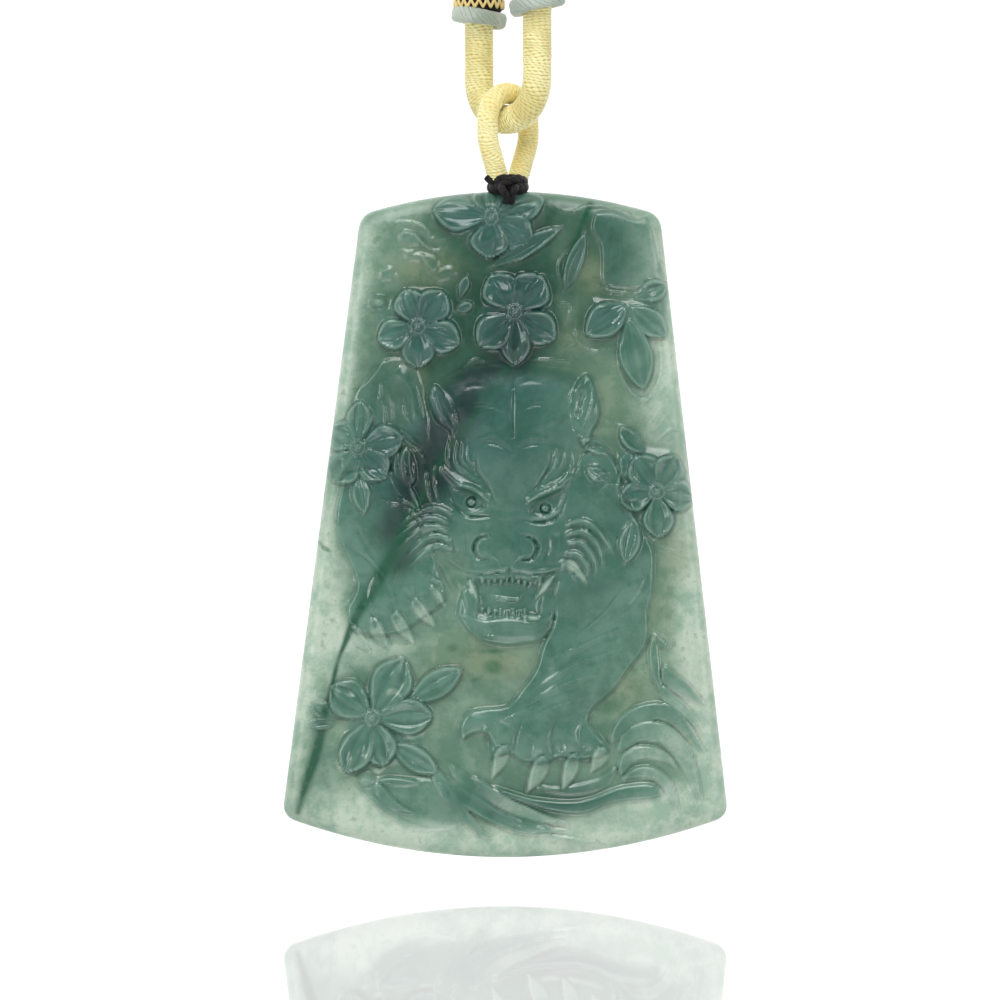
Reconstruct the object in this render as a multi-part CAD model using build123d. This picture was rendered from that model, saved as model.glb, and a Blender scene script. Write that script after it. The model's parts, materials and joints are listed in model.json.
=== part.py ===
from build123d import *
import os
import numpy as np
from math import cos, pi, radians, sin, tan

# A carved jade plaque that hangs from a thread-wrapped loop on a whole neck cord.
# Millimetres. The origin is where the necklace hangs, under the knot at the nape.
# X runs to the right of a person looking at the front, Y to the back, Z up.
# Heights called "up" are measured from the lowest point of the plaque.

# Driving sizes of the whole necklace
HANG_UP = 292.0
AXIS_UP = 66.5
BAND_TOP_UP = 86.0
CORD_DIAMETER = 4.4
NAPE_LENGTH = 24.0
NAPE_DIAMETER = 6.0
NAPE_ROUNDING = 0.8

# The plaque: a trapezium with bowed ends and rounded corners
PLAQUE_HEIGHT = 60.0
BOTTOM_HALF_WIDTH = 20.1
TOP_HALF_WIDTH = 13.5
BOTTOM_SAG = 3.7
TOP_SAG = 2.1
BOTTOM_SHIFT = -0.25
TOP_SHIFT = 0.2
CORNER_RADIUS = 1.3
BACK_Y = 2.7
GROUND_Y = -1.5
EDGE_FRONT_Y = -0.3
EDGE_BACK_Y = 1.5
RIM_WIDTH = 1.2
# The skin behind the carved face, in rings: how far in from the outline, and how far back
SKIN_RINGS = [(0, EDGE_FRONT_Y), (0, EDGE_BACK_Y), (0.4, 2.35), (1.1, BACK_Y)]
COLUMNS = 54
ROWS = 78

# The drilled hole and the black tie
HOLE_UP = 58.9
HOLE_RADIUS = 0.65
DRILL_LENGTH = 20
TIE_RADIUS = 0.53
TIE_FRONT_Y = -3.05
TIE_BACK_Y = 3.55
TIE_TOP_UP = 61.0
TIE_BEND = 0.95
TIE_END_Y = 0.4
KNOT_UP = 60.98
KNOT_LONG = 1.9
KNOT_SHORT = 1.5
KNOT_HALF_HEIGHT = 0.86
KNOT_ROUNDING = 0.8
STUB_RADIUS = 0.45
STUB_PLACE = (-1.55, -0.7, 61.3)

# The two loops: each lies in its own upright plane, at half a right angle to the front
LOOP_TURN = 45.0
BIG_TUBE = 1.3
BIG_HALF_SPACING = 3.7
SMALL_TUBE = 0.95
SMALL_HALF_SPACING = 2.6
SMALL_TOP_UP = 68.9
SMALL_WAIST_UP = 64.6
FOOT_HALF_SPACING = 1.45
FOOT_UP = 61.25
FOOT_BEND = 4.0
BEND_SLACK = 0.01
SOCKET_GAP = 0.05

# The rings and bands on the big loop's legs
COLLAR_BORE = 1.5
COLLAR_OUTER = 2.5
COLLAR_HEIGHT = 2.0
COLLAR_ROUNDING = 0.8
COLLAR_TILT = 9.0
BAND_RADIUS = 2.2

# side, heights of the leg's top and of the ring's middle
LEGS = [
    ("left", -1, 77.2, 75.9),
    ("right", 1, 77.9, 76.5),
]

# Neck cord, right half: x, y and height of each point of the route
CORD_ROUTE = [
    (2.62, -2.62, 86.0),
    (2.62, -2.62, 95.0),
    (5.6, -2.5, 109.0),
    (14.0, -2.1, 132.0),
    (29.5, -1.2, 168.0),
    (46.0, -0.5, 203.0),
    (57.5, -0.2, 230.0),
    (61.5, 0.0, 254.0),
    (56.0, 0.0, 276.0),
    (41.0, 0.0, 290.0),
    (22.0, 0.0, 295.0),
    (12.0, 0.0, 295.0),
]

# Relief of the plaque, in millimetres from the middle of its lowest edge.
# Raised masses: height, width of the soft edge, outline
MASSES = [
    ("head", 1.45, 2.4, [
        (-6.1, 43.2), (-3.4, 44.6), (0.5, 45.1), (4.3, 44.6), (7.4, 43.7), (8.6, 41.2),
        (8.1, 37.6), (7.4, 34.9), (8.7, 30.4), (8.7, 26.0), (6.8, 23.2), (4.3, 21.2),
        (2.7, 19.4), (-1.5, 19.0), (-4.2, 20.7), (-5.2, 23.2), (-6.1, 25.0), (-9.7, 26.2),
        (-10.6, 28.6), (-9.9, 31.8), (-7.0, 34.9), (-6.1, 37.6), (-7.3, 41.2)]),
    ("shoulder", 0.85, 1.6, [
        (-14.7, 34.0), (-15.7, 31.2), (-15.1, 27.5), (-13.8, 25.0), (-14.6, 22.7),
        (-14.4, 20.9), (-12.8, 19.6), (-9.7, 19.9), (-7.0, 22.1), (-5.1, 23.2),
        (-6.1, 26.8), (-7.9, 32.2), (-9.7, 34.9), (-12.4, 34.9)]),
    ("foreleg", 1.05, 1.8, [
        (8.7, 32.2), (11.9, 29.5), (13.2, 28.0), (13.3, 24.6), (12.8, 20.0), (11.1, 17.2),
        (8.7, 14.3), (8.0, 12.2), (9.3, 10.0), (8.3, 9.0), (4.7, 8.6), (1.1, 8.9),
        (-1.8, 9.8), (-4.1, 10.4), (-4.6, 12.2), (-3.4, 13.6), (-0.3, 14.3), (1.1, 15.1),
        (2.7, 18.8), (3.8, 21.4), (7.4, 25.0)]),
    ("rock", 0.75, 1.4, [
        (-13.9, 38.7), (-13.9, 42.5), (-12.8, 43.6), (-11.2, 44.8), (-8.7, 45.0),
        (-7.3, 43.2), (-7.0, 39.4), (-8.8, 36.7), (-11.5, 37.6)]),
]

# Blossoms: height, petal width, centre, tips of the petals
BLOSSOMS = [
    ("top", 0.95, 2.5, (-1.4, 57.4), [
        (-6.4, 57.9), (-2.1, 53.9), (2.2, 55.7), (3.5, 58.6), (-2.6, 59.6)]),
    ("upper_left", 0.95, 2.2, (-8.1, 47.9), [
        (-11.5, 47.0), (-9.0, 51.0), (-6.1, 50.9), (-4.5, 46.5), (-8.1, 44.3)]),
    ("upper_middle", 1.0, 2.4, (0.6, 49.1), [
        (-1.9, 52.2), (3.2, 52.2), (4.1, 46.9), (0.7, 44.5), (-2.6, 46.8)]),
    ("left", 0.8, 2.1, (-13.5, 36.9), [
        (-15.7, 38.4), (-15.3, 34.0), (-11.2, 34.5), (-9.4, 37.7), (-13.1, 40.6)]),
    ("right", 0.9, 2.1, (13.5, 32.9), [
        (10.2, 32.2), (11.3, 35.8), (14.8, 36.0), (16.4, 32.2), (13.5, 28.8)]),
    ("lower_left", 1.0, 2.7, (-12.3, 12.6), [
        (-9.6, 17.7), (-6.9, 12.6), (-11.1, 8.4), (-14.7, 7.8), (-15.6, 15.6)]),
]

# Leaves, ears, teeth and claws: height, width, foot, tip
BLADES = [
    (0.85, 2.6, (10.9, 49.9), (7.0, 47.2)),
    (0.85, 2.4, (10.9, 49.9), (14.3, 46.9)),
    (0.9, 2.6, (10.8, 48.6), (12.0, 42.1)),
    (0.8, 2.2, (11.0, 50.2), (14.2, 51.8)),
    (0.8, 1.8, (-10.2, 49.4), (-12.7, 50.6)),
    (0.7, 1.6, (-13.3, 34.2), (-13.1, 31.0)),
    (0.7, 1.5, (9.5, 36.3), (6.3, 37.7)),
    (0.7, 1.5, (9.1, 33.8), (7.1, 35.4)),
    (0.8, 1.8, (12.3, 36.4), (10.1, 38.4)),
    (0.8, 1.7, (11.0, 30.1), (10.6, 26.7)),
    (0.85, 2.0, (-10.3, 10.8), (-6.1, 7.9)),
    (0.85, 2.2, (-8.9, 14.6), (-3.9, 16.7)),
    (0.8, 2.0, (-15.2, 12.8), (-18.3, 12.9)),
    (0.7, 1.7, (0.5, 53.2), (4.9, 56.8)),
    (0.8, 2.7, (-5.3, 38.8), (-7.0, 43.3)),
    (0.8, 2.9, (5.6, 38.8), (7.6, 43.9)),
    (0.5, 1.1, (-13.4, 21.2), (-12.5, 18.7)),
    (0.5, 1.1, (-11.6, 21.2), (-10.7, 18.8)),
    (0.5, 1.1, (-9.6, 21.6), (-8.5, 19.2)),
    (0.5, 1.1, (-7.9, 22.8), (-6.7, 20.8)),
    (0.6, 1.4, (-4.6, 13.0), (-4.1, 9.8)),
    (0.7, 1.4, (-1.6, 9.4), (-1.4, 6.9)),
    (0.7, 1.5, (1.4, 8.8), (1.8, 5.7)),
    (0.7, 1.5, (4.6, 9.0), (5.0, 6.0)),
    (0.7, 1.4, (7.5, 10.0), (7.9, 7.5)),
]

# Domes, sunk when the height is negative: height, half width, half height, middle
DOMES = [
    ("left_eye", 0.35, 0.9, 0.9, (-3.3, 32.0)),
    ("right_eye", 0.35, 0.9, 0.9, (3.3, 31.5)),
    ("muzzle", 0.7, 2.9, 3.1, (-0.2, 28.4)),
    ("mouth", -1.3, 3.2, 1.7, (0.3, 23.5)),
    ("tongue", 0.6, 1.5, 0.8, (0.0, 23.8)),
    ("first_toe", 0.4, 1.6, 1.4, (-1.6, 10.6)),
    ("second_toe", 0.4, 1.6, 1.5, (1.3, 10.0)),
    ("third_toe", 0.4, 1.6, 1.5, (4.5, 10.2)),
    ("fourth_toe", 0.4, 1.4, 1.4, (7.3, 11.0)),
]

# Stems, curls and brows: height, width, route
RIBBONS = [
    (0.7, 1.7, [(9.3, 10.8), (12.2, 13.0), (15.4, 12.8), (17.8, 9.2)]),
    (0.7, 1.8, [(10.1, 7.7), (12.8, 10.6), (15.6, 10.4), (17.5, 4.6)]),
    (0.7, 1.5, [(10.4, 7.1), (12.8, 8.4), (14.6, 7.0), (15.7, 3.6)]),
    (0.6, 1.1, [(13.8, 16.1), (15.2, 13.4), (17.5, 11.1)]),
    (0.6, 1.3, [(-11.3, 6.6), (-9.9, 4.8), (-8.0, 4.0)]),
    (0.6, 1.4, [(-6.3, 7.7), (-4.7, 4.3), (-1.0, 1.8)]),
    (0.6, 1.4, [(-2.9, 7.1), (0.5, 4.4), (5.8, 2.7)]),
    (0.6, 1.7, [(0.6, 5.0), (5.8, 4.9), (10.6, 6.9)]),
    (0.5, 1.2, [(-5.9, 35.4), (-4.6, 33.9), (-1.9, 33.0)]),
    (0.5, 1.2, [(6.4, 35.2), (4.9, 34.0), (2.0, 32.7)]),
    (0.4, 0.9, [(-5.1, 26.3), (-3.5, 25.5), (0.1, 25.5), (4.1, 25.8), (5.0, 26.2)]),
    (0.5, 1.0, [(-3.3, 22.6), (-2.2, 21.1), (0.1, 20.7), (2.6, 21.0), (3.8, 22.2)]),
]


def smooth(low, high, value):
    """0 below low, 1 above high, and a soft step between them."""
    step = np.clip((value - low) / (high - low), 0, 1)
    return step * step * (3 - 2 * step)


def distance_to_line(x, up, points):
    """The distance of each place from a broken line."""
    nearest = np.full(np.shape(x), 1e9)
    for (ax, ay), (bx, by) in zip(points, points[1:]):
        dx, dy = bx - ax, by - ay
        along = np.clip(((x - ax) * dx + (up - ay) * dy) / (dx * dx + dy * dy), 0, 1)
        nearest = np.minimum(nearest, np.hypot(x - ax - along * dx, up - ay - along * dy))
    return nearest


def is_inside(x, up, outline):
    """True where a place lies inside a closed outline."""
    inside = np.zeros(np.shape(x), bool)
    for (ax, ay), (bx, by) in zip(outline, outline[1:] + outline[:1]):
        if ay != by:
            crosses = (ay > up) != (by > up)
            inside ^= crosses & (x < (bx - ax) * (up - ay) / (by - ay) + ax)
    return inside


def mass(x, up, height, edge, outline):
    """A raised area whose edge rises softly from its outline."""
    depth = distance_to_line(x, up, outline + outline[:1])
    return height * smooth(0, edge, np.where(is_inside(x, up, outline), depth, 0))


def blade(x, up, height, width, foot, tip):
    """A petal or leaf: pointed, with a raised rim and a groove down its middle."""
    dx, dy = tip[0] - foot[0], tip[1] - foot[1]
    length = np.hypot(dx, dy)
    along = ((x - foot[0]) * dx + (up - foot[1]) * dy) / length**2
    across = ((up - foot[1]) * dx - (x - foot[0]) * dy) / length
    within = np.clip(along, 0, 1)
    half = width / 2 * np.sin(pi * within**0.8) ** 0.75 + 1e-6
    share = np.abs(across) / half
    rise = smooth(0, 0.45, 1 - share) * ((along > 0) & (along < 1))
    return height * rise * (0.85 + 0.3 * share**2 - 0.25 * np.exp(-((share / 0.2) ** 2)))


def dome(x, up, height, half_width, half_height, middle):
    """A low round swelling, or a hollow."""
    out = np.hypot((x - middle[0]) / half_width, (up - middle[1]) / half_height)
    return height * smooth(0, 0.9, 1 - out)


def ribbon(x, up, height, width, route):
    """A rounded ridge that follows a route."""
    return height * smooth(0, 0.8, 1 - distance_to_line(x, up, route) / (width / 2))


def relief(x, up):
    """Height of the carving above the plaque's plain ground."""
    ground = np.zeros(np.shape(x))
    for _, height, edge, outline in MASSES:
        ground = np.maximum(ground, mass(x, up, height, edge, outline))
    for _, height, half_width, half_height, middle in DOMES:
        ground = ground + dome(x, up, height, half_width, half_height, middle)
    raised = np.zeros(np.shape(x))
    for height, width, route in RIBBONS:
        raised = np.maximum(raised, ribbon(x, up, height, width, route))
    for height, width, foot, tip in BLADES:
        raised = np.maximum(raised, blade(x, up, height, width, foot, tip))
    for _, height, width, centre, tips in BLOSSOMS:
        for tip in tips:
            raised = np.maximum(raised, blade(x, up, height, width, centre, tip))
        raised = np.maximum(raised, dome(x, up, height + 0.2, 0.8, 0.8, centre))
    return np.maximum(ground, 0) + raised


def even(points, count):
    """The same line as count + 1 points, evenly spaced."""
    points = np.array(points)
    steps = np.hypot(*np.diff(points, axis=0).T)
    along = np.concatenate([[0], np.cumsum(steps)])
    at = np.linspace(0, along[-1], count + 1)
    return np.stack([np.interp(at, along, points[:, k]) for k in (0, 1)], axis=1)


def cut_short(points, length):
    """The same line without that length at each end."""
    points = even(points, 400)
    total = np.hypot(*np.diff(points, axis=0).T).sum()
    skip = int(round(length / total * 400))
    return points[skip:401 - skip]


def plaque_sides():
    """The outline's four sides, each from the middle of one round corner to the next."""
    s = np.linspace(-1, 1, 81)
    bottom = np.stack([BOTTOM_SHIFT + BOTTOM_HALF_WIDTH * s, BOTTOM_SAG * s**2], axis=1)
    top_x = TOP_SHIFT + TOP_HALF_WIDTH * s
    top = np.stack([top_x, PLAQUE_HEIGHT - TOP_SAG * s**2], axis=1)
    left, right = [bottom[0], top[0]], [bottom[-1], top[-1]]
    bottom, right, top, left = (
        cut_short(line, CORNER_RADIUS) for line in (bottom, right, top, left)
    )

    def corner(start, sharp, end):
        """The two halves of a round corner."""
        t = np.linspace(0, 1, 21)[:, None]
        arc = (1 - t) ** 2 * start + 2 * t * (1 - t) * np.array(sharp) + t**2 * end
        return arc[:11], arc[10:]

    low_y, high_y = BOTTOM_SAG, PLAQUE_HEIGHT - TOP_SAG
    low_left = corner(bottom[0], (BOTTOM_SHIFT - BOTTOM_HALF_WIDTH, low_y), left[0])
    low_right = corner(bottom[-1], (BOTTOM_SHIFT + BOTTOM_HALF_WIDTH, low_y), right[0])
    high_left = corner(top[0], (TOP_SHIFT - TOP_HALF_WIDTH, high_y), left[-1])
    high_right = corner(top[-1], (TOP_SHIFT + TOP_HALF_WIDTH, high_y), right[-1])
    return (
        even(np.concatenate([low_left[0][::-1], bottom, low_right[0]]), COLUMNS),
        even(np.concatenate([low_right[1], right, high_right[1][::-1]]), ROWS),
        even(np.concatenate([high_left[0][::-1], top, high_right[0]]), COLUMNS),
        even(np.concatenate([low_left[1], left, high_left[1][::-1]]), ROWS),
    )


def plaque_grid():
    """A grid of places that fills the outline, rows from the bottom up."""
    bottom, right, top, left = plaque_sides()
    u = np.linspace(0, 1, COLUMNS + 1)[None, :, None]
    t = np.linspace(0, 1, ROWS + 1)[:, None, None]
    lofted = (1 - t) * bottom[None] + t * top[None]
    sideways = (1 - u) * left[:, None] + u * right[:, None]
    corners = (1 - t) * ((1 - u) * bottom[0] + u * bottom[-1])
    corners = corners + t * ((1 - u) * top[0] + u * top[-1])
    return lofted + sideways - corners


def facet(*corners):
    """A flat face between corners."""
    return Face(Wire.make_polygon([Vector(*c) for c in corners], close=True))


def plaque_solid():
    """The carved stone, as a closed skin of flat facets."""
    grid = plaque_grid()
    edge = np.concatenate([grid[0, :-1], grid[:-1, -1], grid[-1, :0:-1], grid[:0:-1, 0]])
    x, up = grid[..., 0], grid[..., 1]
    closed = [tuple(p) for p in edge] + [tuple(edge[0])]
    inward = distance_to_line(x, up, closed)
    share = np.clip(inward / RIM_WIDTH, 0, 1)
    rim = np.sqrt(1 - (1 - share) ** 2)
    y = EDGE_FRONT_Y + (GROUND_Y - EDGE_FRONT_Y - relief(x, up)) * rim
    front = np.stack([x, y, up - HANG_UP], axis=2)
    faces = []
    for row in range(ROWS):
        for column in range(COLUMNS):
            a, b = front[row, column], front[row, column + 1]
            c, d = front[row + 1, column + 1], front[row + 1, column]
            faces += [facet(a, b, c), facet(a, c, d)]
    count = len(edge)
    after = np.roll(edge, -1, axis=0) - np.roll(edge, 1, axis=0)
    normal = np.stack([-after[:, 1], after[:, 0]], axis=1)
    normal /= np.hypot(*normal.T)[:, None]
    rings = []
    for inset, depth in SKIN_RINGS:
        ring = edge + inset * normal
        rings.append([(p[0], depth, p[1] - HANG_UP) for p in ring])
    for outer, inner in zip(rings, rings[1:]):
        for k in range(count):
            a, b, c, d = outer[k], outer[(k + 1) % count], inner[(k + 1) % count], inner[k]
            faces += [facet(a, b, c), facet(a, c, d)]
    faces.append(facet(*rings[-1]))
    stone = Solid(Shell(faces))
    drill = Cylinder(HOLE_RADIUS, DRILL_LENGTH, rotation=(90, 0, 0)).moved(place(0, 0, HOLE_UP))
    return stone - drill


def place(x, y, up):
    """A move to a place whose height is measured from the plaque's lowest point."""
    return Location((x, y, up - HANG_UP))


def tube(points, bends, radius):
    """A round tube along straight runs joined by arcs, and its path."""
    path = FilletPolyline(*points, radius=bends)
    section = Plane(origin=path @ 0, z_dir=path % 0) * Circle(radius)
    return sweep(section, path=path), path


def loop_point(side, half_spacing, up, turn):
    """A point of a loop that stands in a plane turned from the front."""
    angle = radians(turn)
    across = side * half_spacing
    return (across * cos(angle), across * sin(angle), up - HANG_UP)


def big_loop():
    """The big loop: two legs and a round bend whose middle is the swing axis."""
    tops = {side: top for _, side, top, _ in LEGS}
    turn = -LOOP_TURN
    points = [
        loop_point(-1, BIG_HALF_SPACING, tops[-1], turn),
        loop_point(-1, BIG_HALF_SPACING, AXIS_UP, turn),
        loop_point(1, BIG_HALF_SPACING, AXIS_UP, turn),
        loop_point(1, BIG_HALF_SPACING, tops[1], turn),
    ]
    return tube(points, BIG_HALF_SPACING - BEND_SLACK, BIG_TUBE)[0]


def small_loop(radius=SMALL_TUBE, foot_up=FOOT_UP):
    """The small loop: a round top over the big loop, and two feet in the knot."""
    slope = (SMALL_HALF_SPACING - FOOT_HALF_SPACING) / (SMALL_WAIST_UP - FOOT_UP)
    foot = FOOT_HALF_SPACING - slope * (FOOT_UP - foot_up)
    half = [foot, SMALL_HALF_SPACING, SMALL_HALF_SPACING]
    ups = [foot_up, SMALL_WAIST_UP, SMALL_TOP_UP]
    points = [loop_point(-1, h, up, LOOP_TURN) for h, up in zip(half, ups)]
    points += [loop_point(1, h, up, LOOP_TURN) for h, up in zip(half[::-1], ups[::-1])]
    top_bend = SMALL_HALF_SPACING - BEND_SLACK
    return tube(points, [FOOT_BEND, top_bend, top_bend, FOOT_BEND], radius)[0]


def tie_cord():
    """The black tie: a strand through the hole, its knot and the knot's cut end."""
    low, high = HOLE_UP - HANG_UP, TIE_TOP_UP - HANG_UP
    points = [
        (0, 0, high), (0, TIE_FRONT_Y, high), (0, TIE_FRONT_Y, low),
        (0, TIE_BACK_Y, low), (0, TIE_BACK_Y, high), (0, TIE_END_Y, high),
    ]
    strand = tube(points, TIE_BEND, TIE_RADIUS)[0]
    knot = Box(2 * KNOT_LONG, 2 * KNOT_SHORT, 2 * KNOT_HALF_HEIGHT)
    knot = fillet(knot.edges(), KNOT_ROUNDING)
    knot = knot.rotate(Axis.Z, LOOP_TURN).moved(place(0, 0, KNOT_UP))
    stub = Sphere(STUB_RADIUS).moved(place(*STUB_PLACE))
    sockets = small_loop(SMALL_TUBE + SOCKET_GAP, FOOT_UP - SOCKET_GAP)
    return (knot + strand + stub) - sockets


def collar(side, middle_up):
    """A cord ring round a leg, lower on the side of the other leg."""
    x, y, _ = loop_point(side, BIG_HALF_SPACING, 0, -LOOP_TURN)
    ring = Cylinder(COLLAR_OUTER, COLLAR_HEIGHT) - Cylinder(COLLAR_BORE, COLLAR_HEIGHT)
    outer = ring.edges().filter_by(GeomType.CIRCLE).sort_by(lambda e: e.radius)[-2:]
    ring = fillet(outer, COLLAR_ROUNDING)
    return ring.rotate(Axis.Y, -side * COLLAR_TILT).moved(place(x, y, middle_up))


def band(side, top_up):
    """The bound stretch of cord between a leg's top and the neck cord."""
    x, y, _ = loop_point(side, BIG_HALF_SPACING, 0, -LOOP_TURN)
    length = BAND_TOP_UP - top_up
    return Cylinder(BAND_RADIUS, length).moved(place(x, y, top_up + length / 2))


def route_bends(points):
    """The arc radius at each point: as large as its two runs allow."""
    bends = []
    for a, b, c in zip(points, points[1:], points[2:]):
        before, after = Vector(*b) - Vector(*a), Vector(*c) - Vector(*b)
        turn = radians(before.get_angle(after))
        bends.append(0.45 * min(before.length, after.length) / tan(turn / 2))
    return bends


def neck_cord(side):
    """One half of the neck cord, from its band to the knot at the nape."""
    points = [(side * x, side * y, up - HANG_UP) for x, y, up in CORD_ROUTE]
    bends = route_bends(points)
    solid, path = tube(points, bends, CORD_DIAMETER / 2)
    expected = path.length * pi * (CORD_DIAMETER / 2) ** 2
    print("cord arcs", [round(r) for r in bends], "length", round(path.length, 1))
    print("volume", round(solid.volume, 1), "section times length", round(expected, 1))
    return solid


def nape_knot():
    """The plain knot at the nape, between the two halves of the neck cord."""
    middle = CORD_ROUTE[-1][2]
    knot = Cylinder(NAPE_DIAMETER / 2, NAPE_LENGTH, rotation=(0, 90, 0))
    return fillet(knot.edges(), NAPE_ROUNDING).moved(place(0, 0, middle))


shapes = {
    "jade_plaque": plaque_solid(),
    "tie_cord": tie_cord(),
    "small_loop": small_loop(),
    "big_loop": big_loop(),
    "nape_knot": nape_knot(),
}
for name, side, top_up, middle_up in LEGS:
    shapes["collar_" + name] = collar(side, middle_up)
    shapes["band_" + name] = band(side, top_up)
    shapes["neck_cord_" + name] = neck_cord(side)

os.makedirs("parts", exist_ok=True)
for node, shape in shapes.items():
    export_step(shape, "parts/" + node + ".step")
plaque = shapes["jade_plaque"]
print("plaque volume", round(plaque.volume), "centre", plaque.center())
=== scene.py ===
# %% [markdown]
# # A carved jade pendant on its neck cord
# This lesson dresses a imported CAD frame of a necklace: a trapezium of pale green jade,
# carved with a tiger among blossoms, hangs by a black tie and two loops wound with yellow
# thread from a whole neck cord. The frame gives the true sizes and places. Here each piece
# gets a mesh fine enough to show its carving or its threads, and a material made of nodes.

# %% Load the frame
import bpy
import json
import numpy as np
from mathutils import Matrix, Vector


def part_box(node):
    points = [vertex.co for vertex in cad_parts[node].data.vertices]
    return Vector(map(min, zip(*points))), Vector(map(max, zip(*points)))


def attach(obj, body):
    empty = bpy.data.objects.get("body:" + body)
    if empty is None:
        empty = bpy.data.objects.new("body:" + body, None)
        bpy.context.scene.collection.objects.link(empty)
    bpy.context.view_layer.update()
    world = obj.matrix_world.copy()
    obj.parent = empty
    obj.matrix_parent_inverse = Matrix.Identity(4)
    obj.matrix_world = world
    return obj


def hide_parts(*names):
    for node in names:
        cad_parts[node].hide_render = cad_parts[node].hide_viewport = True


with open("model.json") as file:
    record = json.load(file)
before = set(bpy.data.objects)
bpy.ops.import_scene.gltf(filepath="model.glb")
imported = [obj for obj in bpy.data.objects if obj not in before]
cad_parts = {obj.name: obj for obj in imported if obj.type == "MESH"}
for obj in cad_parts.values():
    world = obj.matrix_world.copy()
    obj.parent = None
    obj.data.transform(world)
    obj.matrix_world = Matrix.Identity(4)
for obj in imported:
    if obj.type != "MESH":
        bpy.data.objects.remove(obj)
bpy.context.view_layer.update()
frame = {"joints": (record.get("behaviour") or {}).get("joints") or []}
MM = 0.001
plaque_low, plaque_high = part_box("jade_plaque")
BOTTOM_Z = plaque_low[2]
AXIS_Z = frame["joints"][0]["pos_m"][2]
print("plaque", [round((b - a) / MM, 1) for a, b in zip(plaque_low, plaque_high)], "mm")

# %% [markdown]
# ## Places and meshes
# The carving is easiest to read in millimetres from the plaque's lowest point, so a place is
# written as x, y and the height above that point. Every piece below is a grid of points
# joined by four-sided faces, because a grid can be bent, swelled and grooved by a formula.

# %% Helpers for places and meshes
def place(x, y, up):
    """A point of the frame, in metres, from millimetres above the plaque's lowest point."""
    return np.array([x * MM, y * MM, BOTTOM_Z + up * MM])


def grid_faces(rows, columns, around=False, first=0):
    """The four corner numbers of each cell of a grid of rows by columns points."""
    across = columns if around else columns - 1
    r, c = np.meshgrid(np.arange(rows - 1), np.arange(across), indexing="ij")
    n = (c + 1) % columns
    cells = np.stack([r * columns + c, r * columns + n, (r + 1) * columns + n, (r + 1) * columns + c], axis=-1)
    return cells.reshape(-1, 4) + first


def make_piece(name, points, faces, body, material, nodes=(), values=None):
    """A smooth mesh piece that rides on a body, with one number per point for each value."""
    mesh = bpy.data.meshes.new(name)
    mesh.from_pydata(np.asarray(points).tolist(), [], [list(f) for f in faces])
    mesh.update()
    mesh.shade_smooth()
    piece = bpy.data.objects.new(name, mesh)
    bpy.context.scene.collection.objects.link(piece)
    for key, numbers in (values or {}).items():
        column = mesh.attributes.new(key, "FLOAT", "POINT")
        column.data.foreach_set("value", np.asarray(numbers, np.float32).ravel())
    mesh.materials.append(material)
    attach(piece, body)
    if nodes:
        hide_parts(*nodes)
    print(name, len(mesh.vertices), "points")
    return piece


# %% [markdown]
# ## The picture: camera, floor and light
# The pendant is seen square on from the front, and its cord leaves the picture at the top.
# A long lens keeps the sides parallel. The floor is white and faintly mirrors the plaque.
# Polished stone only looks polished when it has something to mirror, so the room is pale
# behind the pendant, darker in front, and two tall soft lights draw lines on each ridge.

# %% Camera
PICTURE_WIDTH = 90.2
CAMERA_DISTANCE = 620.0
CAMERA_X, CAMERA_UP = -0.72, 32.2
FLOOR_UP = -2.25

camera_data = bpy.data.cameras.new("camera")
camera_data.lens = camera_data.sensor_width * CAMERA_DISTANCE / PICTURE_WIDTH
camera_data.clip_start = 0.01
camera = bpy.data.objects.new("camera", camera_data)
camera.location = place(CAMERA_X, -CAMERA_DISTANCE, CAMERA_UP)
camera.rotation_euler = (np.pi / 2, 0, 0)
bpy.context.scene.collection.objects.link(camera)
bpy.context.scene.camera = camera
print("lens", round(camera_data.lens), "mm")


# %% Node helpers for materials
def add(tree, kind, inputs=None, **settings):
    """A node with its settings, and its inputs set to values or linked to sockets."""
    node = tree.nodes.new(kind)
    for key, value in settings.items():
        setattr(node, key, value)
    for key, value in (inputs or {}).items():
        if isinstance(value, bpy.types.NodeSocket):
            tree.links.new(value, node.inputs[key])
        else:
            node.inputs[key].default_value = value
    return node


def mix(tree, mask, first, second, blend="MIX"):
    """The colour first where the mask is 0, and second where it is 1."""
    node = add(tree, "ShaderNodeMix", data_type="RGBA", blend_type=blend)
    for key, value in ((0, mask), (6, first), (7, second)):
        if isinstance(value, bpy.types.NodeSocket):
            tree.links.new(value, node.inputs[key])
        else:
            node.inputs[key].default_value = value
    return node.outputs[2]


def ramp(tree, value, low, high, to_low=0.0, to_high=1.0):
    """A value spread from low..high to to_low..to_high, with a soft step."""
    inputs = {"Value": value, "From Min": low, "From Max": high, "To Min": to_low, "To Max": to_high}
    return add(tree, "ShaderNodeMapRange", inputs, interpolation_type="SMOOTHSTEP").outputs[0]


def calc(tree, operation, first, second=0.0):
    """A sum or other calculation with two numbers."""
    return add(tree, "ShaderNodeMath", {0: first, 1: second}, operation=operation).outputs[0]


def value_of(tree, name):
    """The number that a mesh holds at each point under that name."""
    return add(tree, "ShaderNodeAttribute", attribute_name=name).outputs["Fac"]


def new_material(name):
    """An empty material, its node tree and its Principled shader."""
    material = bpy.data.materials.new(name)
    material.use_nodes = True
    tree = material.node_tree
    return material, tree, tree.nodes["Principled BSDF"]


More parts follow.
